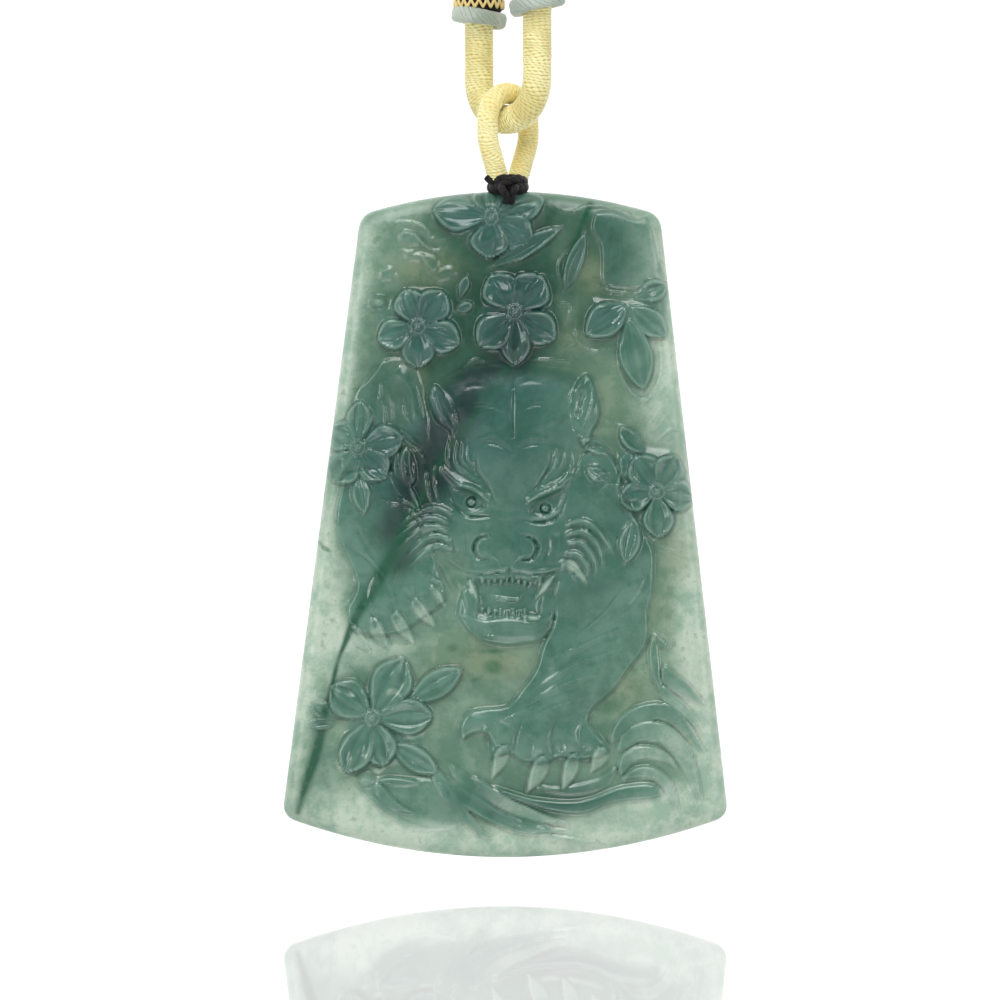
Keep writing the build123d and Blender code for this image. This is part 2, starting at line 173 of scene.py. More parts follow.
# %% Floor and room light
floor_z = place(0, 0, FLOOR_UP)[2]
bpy.ops.mesh.primitive_plane_add(size=6.0, location=(0, 0, floor_z))
floor = bpy.context.object
floor.name = "floor"
floor_material, tree, shader = new_material("white_floor")
spot = add(tree, "ShaderNodeTexCoord").outputs["Object"]
spot = add(tree, "ShaderNodeVectorMath", {0: spot, 1: (2.5, 1, 1), 2: (0, 0.2, 0)},
           operation="MULTIPLY_ADD").outputs["Vector"]
away = add(tree, "ShaderNodeVectorMath", {0: spot}, operation="LENGTH").outputs["Value"]
glossy = ramp(tree, away, 0.22, 0.5, 0.42, 0.0)
seen = add(tree, "ShaderNodeLightPath").outputs["Is Camera Ray"]
glow = ramp(tree, seen, 0.0, 1.0, 0.85, 1.1)
white = add(tree, "ShaderNodeEmission", {"Color": (1, 1, 1, 1), "Strength": glow})
mirror = add(tree, "ShaderNodeBsdfAnisotropic", {"Color": (1, 1, 1, 1), "Roughness": 0.02})
both = add(tree, "ShaderNodeMixShader", {0: glossy, 1: white.outputs[0], 2: mirror.outputs[0]})
tree.links.new(both.outputs[0], tree.nodes["Material Output"].inputs["Surface"])
tree.nodes.remove(shader)
floor.data.materials.append(floor_material)

world = bpy.data.worlds.new("room")
bpy.context.scene.world = world
world.use_nodes = True
tree = world.node_tree
direction = add(tree, "ShaderNodeTexCoord").outputs["Generated"]
depth = add(tree, "ShaderNodeSeparateXYZ", {0: direction}).outputs["Y"]
behind = ramp(tree, depth, -0.15, 0.35)
room = mix(tree, behind, (0.17, 0.175, 0.18, 1), (1.5, 1.5, 1.5, 1))
seen = add(tree, "ShaderNodeLightPath").outputs["Is Camera Ray"]
room = mix(tree, seen, room, (1.1, 1.1, 1.1, 1))
tree.links.new(room, tree.nodes["Background"].inputs["Color"])
bpy.context.scene.view_settings.view_transform = "Standard"

# name, place in millimetres, width and height, watts
SOFT_LIGHTS = [
    ("left_strip", (-330, -260, 80), 60, 380, 0.5),
    ("right_strip", (340, -240, 60), 50, 380, 0.38),
    ("top_box", (-60, -220, 420), 200, 50, 0.4),
    ("spark", (-130, -420, 330), 24, 24, 0.14),
    ("fill_box", (40, -430, 470), 300, 200, 0.95),
]
for name, (x, y, up), width, height, watts in SOFT_LIGHTS:
    light = bpy.data.lights.new(name, "AREA")
    light.shape = "RECTANGLE"
    light.size, light.size_y = width * MM, height * MM
    light.energy = watts
    lamp = bpy.data.objects.new(name, light)
    lamp.location = place(x, y, up)
    aim = Vector(place(0, 0, 35)) - lamp.location
    lamp.rotation_euler = aim.to_track_quat("-Z", "Y").to_euler()
    lamp.visible_camera = False
    bpy.context.scene.collection.objects.link(lamp)
print("soft lights", len(SOFT_LIGHTS))

# %% [markdown]
# ## Tubes that carry threads
# All cords here are round tubes under their threads. A tube follows a line of points, and a
# ring of points stands across the line at each. The trick is to let each ring's radius vary
# round the ring and along the line: a helix of ridges then reads as wound thread, and two
# crossing helices as a braid. The ridge height is kept as a number on each point, so that a
# material can paint shade into the grooves.

# %% Tube helpers
def even_line(points, spacing):
    """The same line, with points an even distance apart."""
    points = np.asarray(points, float)
    along = np.concatenate([[0], np.cumsum(np.linalg.norm(np.diff(points, axis=0), axis=1))])
    count = max(3, int(round(along[-1] / spacing)) + 1)
    at = np.linspace(0, along[-1], count)
    return np.stack([np.interp(at, along, points[:, k]) for k in range(3)], axis=1)


def ring_directions(line, start):
    """Two directions across the line at each point, turning as little as they can."""
    forward = np.gradient(line, axis=0)
    forward /= np.linalg.norm(forward, axis=1)[:, None]
    sides = np.zeros_like(line)
    side = np.asarray(start, float)
    for k, ahead in enumerate(forward):
        side = side - ahead * side.dot(ahead)
        side /= np.linalg.norm(side)
        sides[k] = side
    return sides, np.cross(forward, sides)


def tube_mesh(line, radius, start=(0, 1, 0)):
    """Points and faces of a closed tube whose radius is given ring by ring."""
    across, up = ring_directions(line, start)
    rings, count = radius.shape
    angle = np.linspace(0, 2 * np.pi, count, endpoint=False)
    spoke = np.cos(angle)[None, :, None] * across[:, None] + np.sin(angle)[None, :, None] * up[:, None]
    points = (line[:, None] + radius[:, :, None] * spoke).reshape(-1, 3)
    faces = [list(f) for f in grid_faces(rings, count, around=True)]
    faces.append(list(range(count))[::-1])
    faces.append(list(range((rings - 1) * count, rings * count)))
    return points, faces


def wound_ridges(along, angle, radius, pitch, ply, plies=0.6):
    """Height from 0 to 1 of a two-ply thread wound round a tube, turn beside turn."""
    turn = along / pitch + angle / (2 * np.pi)
    share = turn % 1.0
    ridge = np.sqrt(1 - 0.9 * (2 * share - 1) ** 2)
    start = 43.758 * np.sin(12.9898 * np.floor(turn))
    dash = (angle * radius / ply + 0.5 * share + start) % 1.0
    return ridge * (1 - plies + plies * np.sin(np.pi * dash) ** 0.7)


def braid_ridges(along, angle, strands, lay):
    """Height from 0 to 1 of a round braid: two crossing sets of strands, over and under."""
    a = strands * angle / (2 * np.pi) + along / lay
    b = strands * angle / (2 * np.pi) - along / lay
    over = (np.floor(a) + np.floor(b)) % 2 == 0
    across = np.where(over, a % 1, b % 1)
    length = np.where(over, b % 1, a % 1)
    return np.sqrt(1 - 0.95 * (2 * across - 1) ** 2) * (0.55 + 0.45 * np.sin(np.pi * length))


def tube_coordinates(line, count):
    """Distance along the line in millimetres, and the angle round it, as a grid."""
    steps = np.linalg.norm(np.diff(line, axis=0), axis=1) / MM
    along = np.concatenate([[0], np.cumsum(steps)])[:, None]
    angle = np.linspace(0, 2 * np.pi, count, endpoint=False)[None, :]
    return along + 0 * angle, angle + 0 * along


# %% [markdown]
# ## One thread look for all cords, with painted groove shade
# Silk-like thread looks soft because light is caught on its tops and lost in its grooves,
# and because no two turns take the dye alike. The first is painted here as shade: the grooves
# take a darker colour, and the same darker colour also marks the uneven dye. Both effects
# serve five materials, so they are one node group: it takes the thread's colour and gives
# back a coloured version and a normal.

# %% Thread node group
def thread_group():
    """Nodes that paint shade into the grooves, vary the dye and roughen the surface with fibres."""
    group = bpy.data.node_groups.new("thread_groove_shade_and_dye", "ShaderNodeTree")
    sockets = [
        ("Colour", "INPUT", "NodeSocketColor"), ("Groove Shade And Dye Colour", "INPUT", "NodeSocketColor"),
        ("Dye Change", "INPUT", "NodeSocketFloat"), ("Fibre Depth", "INPUT", "NodeSocketFloat"),
        ("Colour", "OUTPUT", "NodeSocketColor"), ("Roughness", "OUTPUT", "NodeSocketFloat"),
        ("Normal", "OUTPUT", "NodeSocketVector"),
    ]
    for name, side, kind in sockets:
        group.interface.new_socket(name=name, in_out=side, socket_type=kind)
    given = add(group, "NodeGroupInput").outputs
    ridge = value_of(group, "ridge")
    where = add(group, "ShaderNodeTexCoord").outputs["Object"]
    fine = add(group, "ShaderNodeTexNoise", {"Vector": where, "Scale": 9000.0, "Detail": 2.0})
    patch = add(group, "ShaderNodeTexNoise", {"Vector": where, "Scale": 300.0, "Detail": 3.0})
    # Painted shade: low ridge heights take the darker groove colour
    top = ramp(group, ridge, 0.26, 0.78)
    colour = mix(group, top, given["Groove Shade And Dye Colour"], given["Colour"])
    change = calc(group, "MULTIPLY", ramp(group, patch.outputs["Fac"], 0.35, 0.7), given["Dye Change"])
    colour = mix(group, change, colour, given["Groove Shade And Dye Colour"])
    lit = calc(group, "MULTIPLY", ramp(group, fine.outputs["Fac"], 0.45, 0.75), 0.35)
    colour = mix(group, lit, colour, (1, 1, 1, 1), "SOFT_LIGHT")
    rough = ramp(group, fine.outputs["Fac"], 0.2, 0.8, 0.45, 0.8)
    inputs = {"Height": fine.outputs["Fac"], "Strength": 0.5, "Distance": given["Fibre Depth"]}
    bump = add(group, "ShaderNodeBump", inputs)
    result = add(group, "NodeGroupOutput")
    group.links.new(colour, result.inputs["Colour"])
    group.links.new(rough, result.inputs["Roughness"])
    group.links.new(bump.outputs["Normal"], result.inputs["Normal"])
    return group


thread_groove_shade_and_dye = thread_group()


def thread_material(name, colour, groove_shade_and_dye, dye=0.35, fibre=0.00003, sheen=0.35, shine=0.5):
    """A wound or braided thread of one colour."""
    material, tree, shader = new_material(name)
    inputs = {"Colour": (*colour, 1), "Groove Shade And Dye Colour": (*groove_shade_and_dye, 1), "Dye Change": dye, "Fibre Depth": fibre}
    node = add(tree, "ShaderNodeGroup", node_tree=thread_groove_shade_and_dye)
    for key, value in inputs.items():
        node.inputs[key].default_value = value
    tree.links.new(node.outputs["Colour"], shader.inputs["Base Color"])
    tree.links.new(node.outputs["Roughness"], shader.inputs["Roughness"])
    tree.links.new(node.outputs["Normal"], shader.inputs["Normal"])
    shader.inputs["Sheen Weight"].default_value = sheen
    shader.inputs["Sheen Roughness"].default_value = 0.4
    shader.inputs["Specular IOR Level"].default_value = shine
    shader.inputs["Subsurface Weight"].default_value = 0.15
    shader.inputs["Subsurface Scale"].default_value = 0.0003
    return material


# Second colour of each thread: painted shade for the grooves, also used for the darker dye
green_yellow = thread_material("big_loop_thread", (1.0, 0.925, 0.50), (0.54, 0.42, 0.06), 0.5)
warm_yellow = thread_material("small_loop_thread", (1.0, 0.94, 0.52), (0.80, 0.57, 0.08), 0.45)
grey_green = thread_material("ring_thread", (0.50, 0.57, 0.49), (0.20, 0.26, 0.20), 0.6, 0.00008)
black_thread = thread_material("black_thread", (0.014, 0.012, 0.013), (0.004, 0.003, 0.004), 0.2, 0.00003, 0.04, 0.2)
gold_thread = thread_material("gold_thread", (0.86, 0.66, 0.26), (0.45, 0.28, 0.06), 0.2)
sage_cord = thread_material("neck_cord_thread", (0.42, 0.48, 0.40), (0.16, 0.20, 0.16))
print("thread materials", 6)

# %% [markdown]
# ## The neck cord
# The picture's edge hides the cord, so it takes the plain way round a neck: up from each
# band, round in one arch and into a knot at the nape. A braid of eight strands each way is
# what such cords are. The line is a smooth spline through given points, and the
# braided tube follows points read back from it, so both always agree.

# %% Neck cord
CORD_DIAMETER = 4.4
BRAID_STRANDS, BRAID_LAY = 8, 1.75
BRAID_DEPTH = 0.34
# Right half: x, y and height of each point of the route
CORD_ROUTE = [
    (2.62, -2.62, 86.0), (2.62, -2.62, 95.0), (5.6, -2.5, 109.0), (14.0, -2.1, 132.0),
    (29.5, -1.2, 168.0), (46.0, -0.5, 203.0), (57.5, -0.2, 230.0), (61.5, 0.0, 254.0),
    (56.0, 0.0, 276.0), (41.0, 0.0, 290.0), (22.0, 0.0, 295.0), (12.0, 0.0, 295.0),
]


def spline_line(points):
    """Points read from a smooth spline whose control points are given."""
    curve = bpy.data.curves.new("route", "CURVE")
    curve.dimensions = "3D"
    curve.resolution_u = 24
    spline = curve.splines.new("NURBS")
    spline.points.add(len(points) - 1)
    for spot, point in zip(spline.points, points):
        spot.co = (*point, 1)
    spline.order_u = 3
    spline.use_endpoint_u = True
    holder = bpy.data.objects.new("route", curve)
    bpy.context.scene.collection.objects.link(holder)
    mesh = bpy.data.meshes.new_from_object(holder)
    line = np.array([v.co[:] for v in mesh.vertices])
    bpy.data.objects.remove(holder)
    bpy.data.curves.remove(curve)
    bpy.data.meshes.remove(mesh)
    return line


for side_name, side in (("left", -1), ("right", 1)):
    route = [place(side * x, side * y, up) for x, y, up in CORD_ROUTE]
    line = even_line(spline_line(route), 0.32 * MM)
    along, angle = tube_coordinates(line, 64)
    ridge = braid_ridges(along, angle, BRAID_STRANDS, BRAID_LAY)
    radius = (CORD_DIAMETER / 2 - BRAID_DEPTH * (1 - ridge)) * MM
    points, faces = tube_mesh(line, radius)
    name = "neck_cord_" + side_name
    cord = make_piece("braid_" + side_name, points, faces, "necklace", sage_cord,
                      [name], {"ridge": ridge})

# %% [markdown]
# ## The knot at the nape
# A plain sleeve of wound cord joins the two halves. It is the one piece that nobody sees in
# the picture, so it stays simple: a short tube with coarse turns and rounded ends.

# %% Nape knot
NAPE_LENGTH, NAPE_RADIUS, NAPE_PITCH = 24.0, 3.0, 1.5
nape_up = CORD_ROUTE[-1][2]
nape_line = np.array([place(x, 0, nape_up) for x in np.linspace(-NAPE_LENGTH / 2, NAPE_LENGTH / 2, 241)])
along, angle = tube_coordinates(nape_line, 72)
ridge = wound_ridges(along, angle, NAPE_RADIUS, NAPE_PITCH, 0.9)
end = np.clip(np.minimum(along, NAPE_LENGTH - along) / 1.1, 0, 1)
rounding = np.sqrt(1 - (1 - end) ** 2)
radius = (NAPE_RADIUS - 0.85 * (1 - rounding) - 0.42 * (1 - ridge)) * MM
points, faces = tube_mesh(nape_line, radius)
make_piece("nape_sleeve", points, faces, "necklace", grey_green, ["nape_knot"], {"ridge": ridge})

# %% [markdown]
# ## The two yellow loops
# Each loop is a soft core wound closely with two-ply thread, about three turns to the
# millimetre. They hang one in the other, each turned half a right angle from the front, so
# the big loop passes behind on the left and in front on the right. A formula gives each
# loop's line: straight legs and a round bend.

# %% Loop lines
TURN = np.pi / 4
LEG_SPACING = 3.7
BIG_RADIUS, SMALL_RADIUS = 1.32, 0.97
LEG_TOPS = {-1: 77.2, 1: 77.9}
AXIS_UP = (AXIS_Z - BOTTOM_Z) / MM


def in_loop_plane(across, up, turn):
    """Points of a loop that stands in a plane turned from the front."""
    return np.array([place(a * np.cos(turn), a * np.sin(turn), u) for a, u in zip(across, up)])


def rounded_line(corners, radii, step=0.02):
    """A flat line through corners, each rounded with an arc of its radius."""
    corners = [np.array(c, float) for c in corners]
    line = [corners[0]]
    for before, corner, after, radius in zip(corners, corners[1:], corners[2:], radii):
        back, ahead = before - corner, after - corner
        back, ahead = back / np.hypot(*back), ahead / np.hypot(*ahead)
        half = np.arccos(np.clip(back.dot(ahead), -1, 1)) / 2
        middle = corner + (back + ahead) / np.hypot(*(back + ahead)) * radius / np.sin(half)
        first = corner + back * radius / np.tan(half) - middle
        last = corner + ahead * radius / np.tan(half) - middle
        sweep = np.arctan2(first[0] * last[1] - first[1] * last[0], first.dot(last))
        for angle in np.linspace(0, sweep, max(3, int(abs(sweep) * radius / step / 5))):
            turned = np.array([first[0] * np.cos(angle) - first[1] * np.sin(angle),
                               first[0] * np.sin(angle) + first[1] * np.cos(angle)])
            line.append(middle + turned)
    line.append(corners[-1])
    return np.array(line)


big_flat = rounded_line([(-LEG_SPACING, LEG_TOPS[-1]), (-LEG_SPACING, AXIS_UP), (LEG_SPACING, AXIS_UP),
                         (LEG_SPACING, LEG_TOPS[1])], [LEG_SPACING - 0.01] * 2)
small_flat = rounded_line([(-1.25, 61.25), (-2.6, 64.6), (-2.6, 68.9), (2.6, 68.9), (2.6, 64.6),
                           (1.25, 61.25)], [4.0, 2.59, 2.59, 4.0])
big_line = even_line(in_loop_plane(big_flat[:, 0], big_flat[:, 1], -TURN), 0.055 * MM)
small_line = even_line(in_loop_plane(small_flat[:, 0], small_flat[:, 1], TURN), 0.055 * MM)
print("loop lines", len(big_line), len(small_line), "rings")

# %% Wound thread on the loops
THREAD_PITCH, PLY_LENGTH, THREAD_DEPTH = 0.26, 0.62, 0.18
for name, line, radius, count, body, material, node in (
    ("big_loop_wound", big_line, BIG_RADIUS, 104, "necklace", green_yellow, "big_loop"),
    ("small_loop_wound", small_line, SMALL_RADIUS, 84, "pendant", warm_yellow, "small_loop"),
):
    along, angle = tube_coordinates(line, count)
    sway = 0.09 * np.sin(along * 1.9) * np.sin(2 * angle) + 0.06 * np.sin(along * 4.3 + 2 * angle)
    ridge = wound_ridges(along + sway, angle, radius, THREAD_PITCH, PLY_LENGTH, 0.5)
    points, faces = tube_mesh(line, (radius - THREAD_DEPTH * (1 - ridge)) * MM)
    make_piece(name, points, faces, body, material, [node], {"ridge": ridge})

# %% [markdown]
# ## Cord rings and gold bands
# Where each leg of the big loop meets the neck cord, a ring of grey-green cord hides the
# join. It sits a little aslant, lower towards the other leg. Above it the cord is bound in
# black, with gold thread laid over it in a zigzag. The ring is a ring-shaped tube with a
# flattened section, and the zigzag is a separate strand laid on the band.

# %% Rings
RING_MIDDLE_RADIUS, RING_HALF_WIDTH, RING_HALF_HEIGHT = 2.0, 0.52, 0.72
RING_TILTS = {-1: np.radians(9), 1: np.radians(14)}
RING_UPS = {-1: 75.9, 1: 76.85}


def leg_place(side, up):
    """The middle of a leg of the big loop at some height."""
    return place(side * LEG_SPACING * np.cos(TURN), -side * LEG_SPACING * np.sin(TURN), up)


def ring_piece(side_name, side):
    """A ring of cord round one leg."""
    count, sides = 220, 60
    turn = np.linspace(0, 2 * np.pi, count, endpoint=False)[:, None]
    angle = np.linspace(0, 2 * np.pi, sides, endpoint=False)[None, :]
    uneven = 0.5 * np.sin(3 * turn) + 0.3 * np.sin(5 * turn + 2 * angle)
    strands = (28 * turn / (2 * np.pi) + 9.0 * angle / (2 * np.pi) + uneven) % 1.0
    ridge = np.sqrt(1 - 0.9 * (2 * strands - 1) ** 2)
    swell = 0.13 * (ridge - 1) + 0.06 * np.sin(2 * turn + 1 + side) * np.ones_like(angle)
    power = 0.8
    flat = np.sign(np.cos(angle)) * np.abs(np.cos(angle)) ** power
    tall = np.sign(np.sin(angle)) * np.abs(np.sin(angle)) ** power
    out = RING_MIDDLE_RADIUS + (RING_HALF_WIDTH + swell) * flat
    rise = (RING_HALF_HEIGHT + swell) * tall
    x, y, z = out * np.cos(turn), out * np.sin(turn), rise + 0 * turn
    tilt = -side * RING_TILTS[side]
    x, z = x * np.cos(tilt) + z * np.sin(tilt), z * np.cos(tilt) - x * np.sin(tilt)
    points = np.stack([x, y, z], axis=-1).reshape(-1, 3) * MM + leg_place(side, RING_UPS[side])
    cells = grid_faces(count, sides, around=True)
    last = np.arange(sides)
    seam = np.stack([(count - 1) * sides + last, (count - 1) * sides + (last + 1) % sides,
                     (last + 1) % sides, last], axis=-1)
    faces = np.concatenate([cells, seam])[:, ::-1]
    make_piece("cord_ring_" + side_name, points, faces, "necklace", grey_green,
               ["collar_" + side_name], {"ridge": ridge})


for side_name, side in (("left", -1), ("right", 1)):
    ring_piece(side_name, side)

# %% Bands with gold zigzag
BAND_RADIUS, BAND_TOP_UP = 2.12, 86.0
BAND_LOW_UPS = {-1: 76.3, 1: 77.2}
ZIGZAG_POINTS, ZIGZAG_HEIGHT, ZIGZAG_STEP = 19, 0.34, 1.1
GOLD_RADIUS = 0.13


def zigzag_line(side, middle_up):
    """A closed zigzag round a band, as points."""
    turn = np.linspace(0, 2 * np.pi, 24 * ZIGZAG_POINTS, endpoint=False)
    wave = np.arcsin(np.sin(turn * ZIGZAG_POINTS)) / (np.pi / 2)
    out = (BAND_RADIUS + 0.09) * MM
    ring = np.stack([out * np.cos(turn), out * np.sin(turn), wave * ZIGZAG_HEIGHT * MM], axis=1)
    return ring + leg_place(side, middle_up)


def closed_tube(line, radius, sides):
    """Points and faces of a thin tube along a closed line."""
    line = np.concatenate([line, line[:1]])
    across, up = ring_directions(line, (0, 0, 1))
    angle = np.linspace(0, 2 * np.pi, sides, endpoint=False)
    spoke = np.cos(angle)[None, :, None] * across[:, None] + np.sin(angle)[None, :, None] * up[:, None]
    points = (line[:, None] + radius * spoke)[:-1].reshape(-1, 3)
    rings = len(line) - 1
    cells = grid_faces(rings + 1, sides, around=True) % (rings * sides)
    return points, cells


for side_name, side in (("left", -1), ("right", 1)):
    low_up = BAND_LOW_UPS[side]
    ups = np.linspace(low_up, BAND_TOP_UP, 190)
    line = np.array([leg_place(side, up) for up in ups])
    along, angle = tube_coordinates(line, 64)
    ridge = wound_ridges(along, angle, BAND_RADIUS, 0.34, 0.7)
    end = np.clip(np.minimum(along, BAND_TOP_UP - low_up - along) / 0.5, 0, 1)
    radius = (BAND_RADIUS - 0.07 * (1 - ridge) - 0.3 * (1 - np.sqrt(1 - (1 - end) ** 2))) * MM
    points, faces = tube_mesh(line, radius)
    make_piece("black_band_" + side_name, points, faces, "necklace", black_thread,
               ["band_" + side_name], {"ridge": ridge})
    rows = int((BAND_TOP_UP - low_up - 0.6) / ZIGZAG_STEP)
    all_points, all_faces = [], []
    for row in range(rows):
        points, cells = closed_tube(zigzag_line(side, low_up + 0.75 + row * ZIGZAG_STEP), GOLD_RADIUS * MM, 6)
        all_faces.append(cells + sum(len(p) for p in all_points))
        all_points.append(points)
    points = np.concatenate(all_points)
    make_piece("gold_zigzag_" + side_name, points, np.concatenate(all_faces), "necklace",
               gold_thread, (), {"ridge": np.ones(len(points))})

# %% [markdown]
# ## The black tie
# A twisted black strand goes through the drilled hole, comes up before and behind the top
# edge, and is knotted between the feet of the small loop. Its knot is built as it is tied:
# strands that pass round each other, each a tube with two plies twisted together.

# %% Tie
HOLE_UP, HOLE_RADIUS = 58.9, 0.65
TIE_RADIUS = 0.34


def twisted_ridges(along, angle, lay):
    """Height from 0 to 1 of two plies twisted into a strand."""
    return np.abs(np.cos(angle - 2 * np.pi * along / lay)) ** 0.6


def strand(points, radius, lay=1.5, sides=28):
    """A twisted strand along a smooth line, as points, faces and ridge heights."""
    line = even_line(spline_line([place(*p) for p in points]), 0.07 * MM)
    along, angle = tube_coordinates(line, sides)
    ridge = twisted_ridges(along, angle, lay)
    mesh_points, faces = tube_mesh(line, (radius - 0.12 * radius * (1 - ridge)) * MM, (1, 0, 0.1))
    return mesh_points, faces, ridge.ravel()


# Each strand: radius in millimetres, then its route
TIE_STRANDS = [
    (TIE_RADIUS, [(-0.3, -0.6, 60.5), (-0.6, -2.0, 60.4), (-0.58, -3.0, 60.2), (-0.34, -3.3, 59.8),
                  (-0.06, -3.2, 59.35), (-0.2, -1.9, 59.0), (-0.3, 0.6, 58.95), (-0.3, 2.6, 58.95),
                  (-0.35, 3.2, 59.1), (-0.35, 3.3, 60.1), (-0.3, 2.5, 60.85), (-0.1, 1.4, 60.9), (0.0, 0.3, 60.8)]),
    (TIE_RADIUS, [(0.4, -0.6, 60.5), (0.7, -2.0, 60.35), (0.62, -2.9, 60.15), (0.42, -3.0, 59.75),
                  (0.26, -2.8, 59.35), (0.3, -1.9, 58.95), (0.3, 0.6, 58.95), (0.3, 2.6, 58.95),
                  (0.4, 3.2, 59.15), (0.4, 3.3, 60.1), (0.35, 2.5, 60.85), (0.1, 1.4, 60.9), (0.0, 0.3, 60.8)]),
    (0.6, [(-1.3, -0.6, 60.35), (-1.0, -1.6, 60.3), (0.1, -2.1, 60.25), (1.2, -1.3, 60.3),
           (1.35, 0.2, 60.45), (0.6, 1.3, 60.55), (-0.7, 1.3, 60.55), (-1.4, 0.4, 60.45), (-1.3, -0.5, 60.35)]),
    (0.54, [(-1.1, -0.9, 60.9), (-0.8, -1.7, 60.95), (0.3, -1.9, 61.0), (1.2, -1.1, 60.9),
            (1.35, 0.1, 60.85), (0.8, 0.9, 60.9)]),
    (0.4, [(-0.9, -2.0, 60.25), (-0.2, -2.5, 60.65), (0.6, -2.2, 61.0), (1.0, -1.4, 61.15)]),
    (0.42, [(-1.0, -1.2, 60.8), (-1.4, -1.3, 60.9), (-1.65, -1.2, 61.1), (-1.8, -1.1, 61.3)]),
]
all_points, all_faces, all_ridges = [], [], []
count = 0
for radius, points in TIE_STRANDS:
    points, faces, ridge = strand(points, radius)
    all_points.append(points)
    all_faces += [[k + count for k in face] for face in faces]
    all_ridges.append(ridge)
    count += len(points)
make_piece("black_tie", np.concatenate(all_points), all_faces, "pendant", black_thread,
           ["tie_cord"], {"ridge": np.concatenate(all_ridges)})

# %% [markdown]
# ## The stone: outline and grid
# The plaque is a trapezium with bowed ends. Its carved face is one sheet of small cells, and
# the cells must follow the outline, so the sheet is woven between the four sides: every
# point is an average of the points across from it. The corners of the sheet fall in the
# middle of the round corners, where they can't be seen.

# %% Plaque outline
PLAQUE_HEIGHT = 60.0
BOTTOM_HALF_WIDTH, TOP_HALF_WIDTH = 20.1, 13.5
BOTTOM_SAG, TOP_SAG = 3.7, 2.1
BOTTOM_SHIFT, TOP_SHIFT = -0.25, 0.2
CORNER_RADIUS = 1.3
COLUMNS, ROWS = 232, 352


def even_flat(points, count):
    """The same flat line as count + 1 points, evenly spaced."""
    points = np.array(points)
    along = np.concatenate([[0], np.cumsum(np.hypot(*np.diff(points, axis=0).T))])
    at = np.linspace(0, along[-1], count + 1)
    return np.stack([np.interp(at, along, points[:, k]) for k in (0, 1)], axis=1)


def plaque_sides():
    """The four sides, each from the middle of one round corner to the middle of the next."""
    s = np.linspace(-1, 1, 201)
    bottom = np.stack([BOTTOM_SHIFT + BOTTOM_HALF_WIDTH * s, BOTTOM_SAG * s**2], axis=1)
    top = np.stack([TOP_SHIFT + TOP_HALF_WIDTH * s, PLAQUE_HEIGHT - TOP_SAG * s**2], axis=1)
    sharp = [bottom[0], bottom[-1], top[-1], top[0]]
    lines = [bottom, np.array(sharp[1:3]), top[::-1], np.array([top[0], bottom[0]])]
    trimmed = []
    for line in lines:
        line = even_flat(line, 600)
        skip = int(round(CORNER_RADIUS / np.hypot(*np.diff(line, axis=0).T).sum() * 600))
        trimmed.append(line[skip:601 - skip])
    t = np.linspace(0, 1, 41)[:, None]
    arcs = [(1 - t) ** 2 * trimmed[k - 1][-1] + 2 * t * (1 - t) * sharp[k] + t**2 * trimmed[k][0]
            for k in range(4)]
    full = [np.concatenate([arcs[k][20:], trimmed[k], arcs[(k + 1) % 4][:21]]) for k in range(4)]
    return [even_flat(line, count) for line, count in zip(full, (COLUMNS, ROWS, COLUMNS, ROWS))]


def woven_sheet(edge, columns, rows):
    """A grid of places inside a closed edge that starts at the lower left corner."""
    bottom = edge[:columns + 1]
    right = edge[columns:columns + rows + 1]
    top = edge[columns + rows:2 * columns + rows + 1][::-1]
    left = np.concatenate([edge[2 * columns + rows:], edge[:1]])[::-1]
    u = np.linspace(0, 1, columns + 1)[None, :, None]
    t = np.linspace(0, 1, rows + 1)[:, None, None]
    lofted = (1 - t) * bottom[None] + t * top[None]
    sideways = (1 - u) * left[:, None] + u * right[:, None]
    corners = (1 - t) * ((1 - u) * bottom[0] + u * bottom[-1]) + t * ((1 - u) * top[0] + u * top[-1])
    return lofted + sideways - corners


plaque_edge = np.concatenate([side[:-1] for side in plaque_sides()])
sheet = woven_sheet(plaque_edge, COLUMNS, ROWS)
print("carved face", sheet.shape[1], "by", sheet.shape[0], "points")

# %% [markdown]
# ## A small set of carver's forms
# Low relief like this is cut with a few kinds of stroke, and each one here is a formula for
# height: a mass with a crisp step and a soft shoulder, a petal with a raised rim and a
# folded middle, a round dome or hollow, and a ridge or groove that follows a bent line and
# thins out at its ends. Each only works on the points near it, which keeps it quick.

# %% Carving formulas
def smooth(low, high, value):
    """0 below low, 1 above high, and a soft step between them."""
    step = np.clip((value - low) / (high - low), 0, 1)
    return step * step * (3 - 2 * step)


def bent(points, parts=6):
    """A smooth line through given points."""
    p = np.array(points, float)
    if len(p) < 3:
        return p
    p = np.concatenate([2 * p[:1] - p[1:2], p, 2 * p[-1:] - p[-2:-1]])
    t = np.linspace(0, 1, parts, endpoint=False)[:, None]
    spans = []
    for a, b, c, d in zip(p, p[1:], p[2:], p[3:]):
        spans.append(0.5 * (2 * b + (c - a) * t + (2 * a - 5 * b + 4 * c - d) * t**2
                            + (3 * b - a - 3 * c + d) * t**3))
    return np.concatenate(spans + [p[-2:-1]])


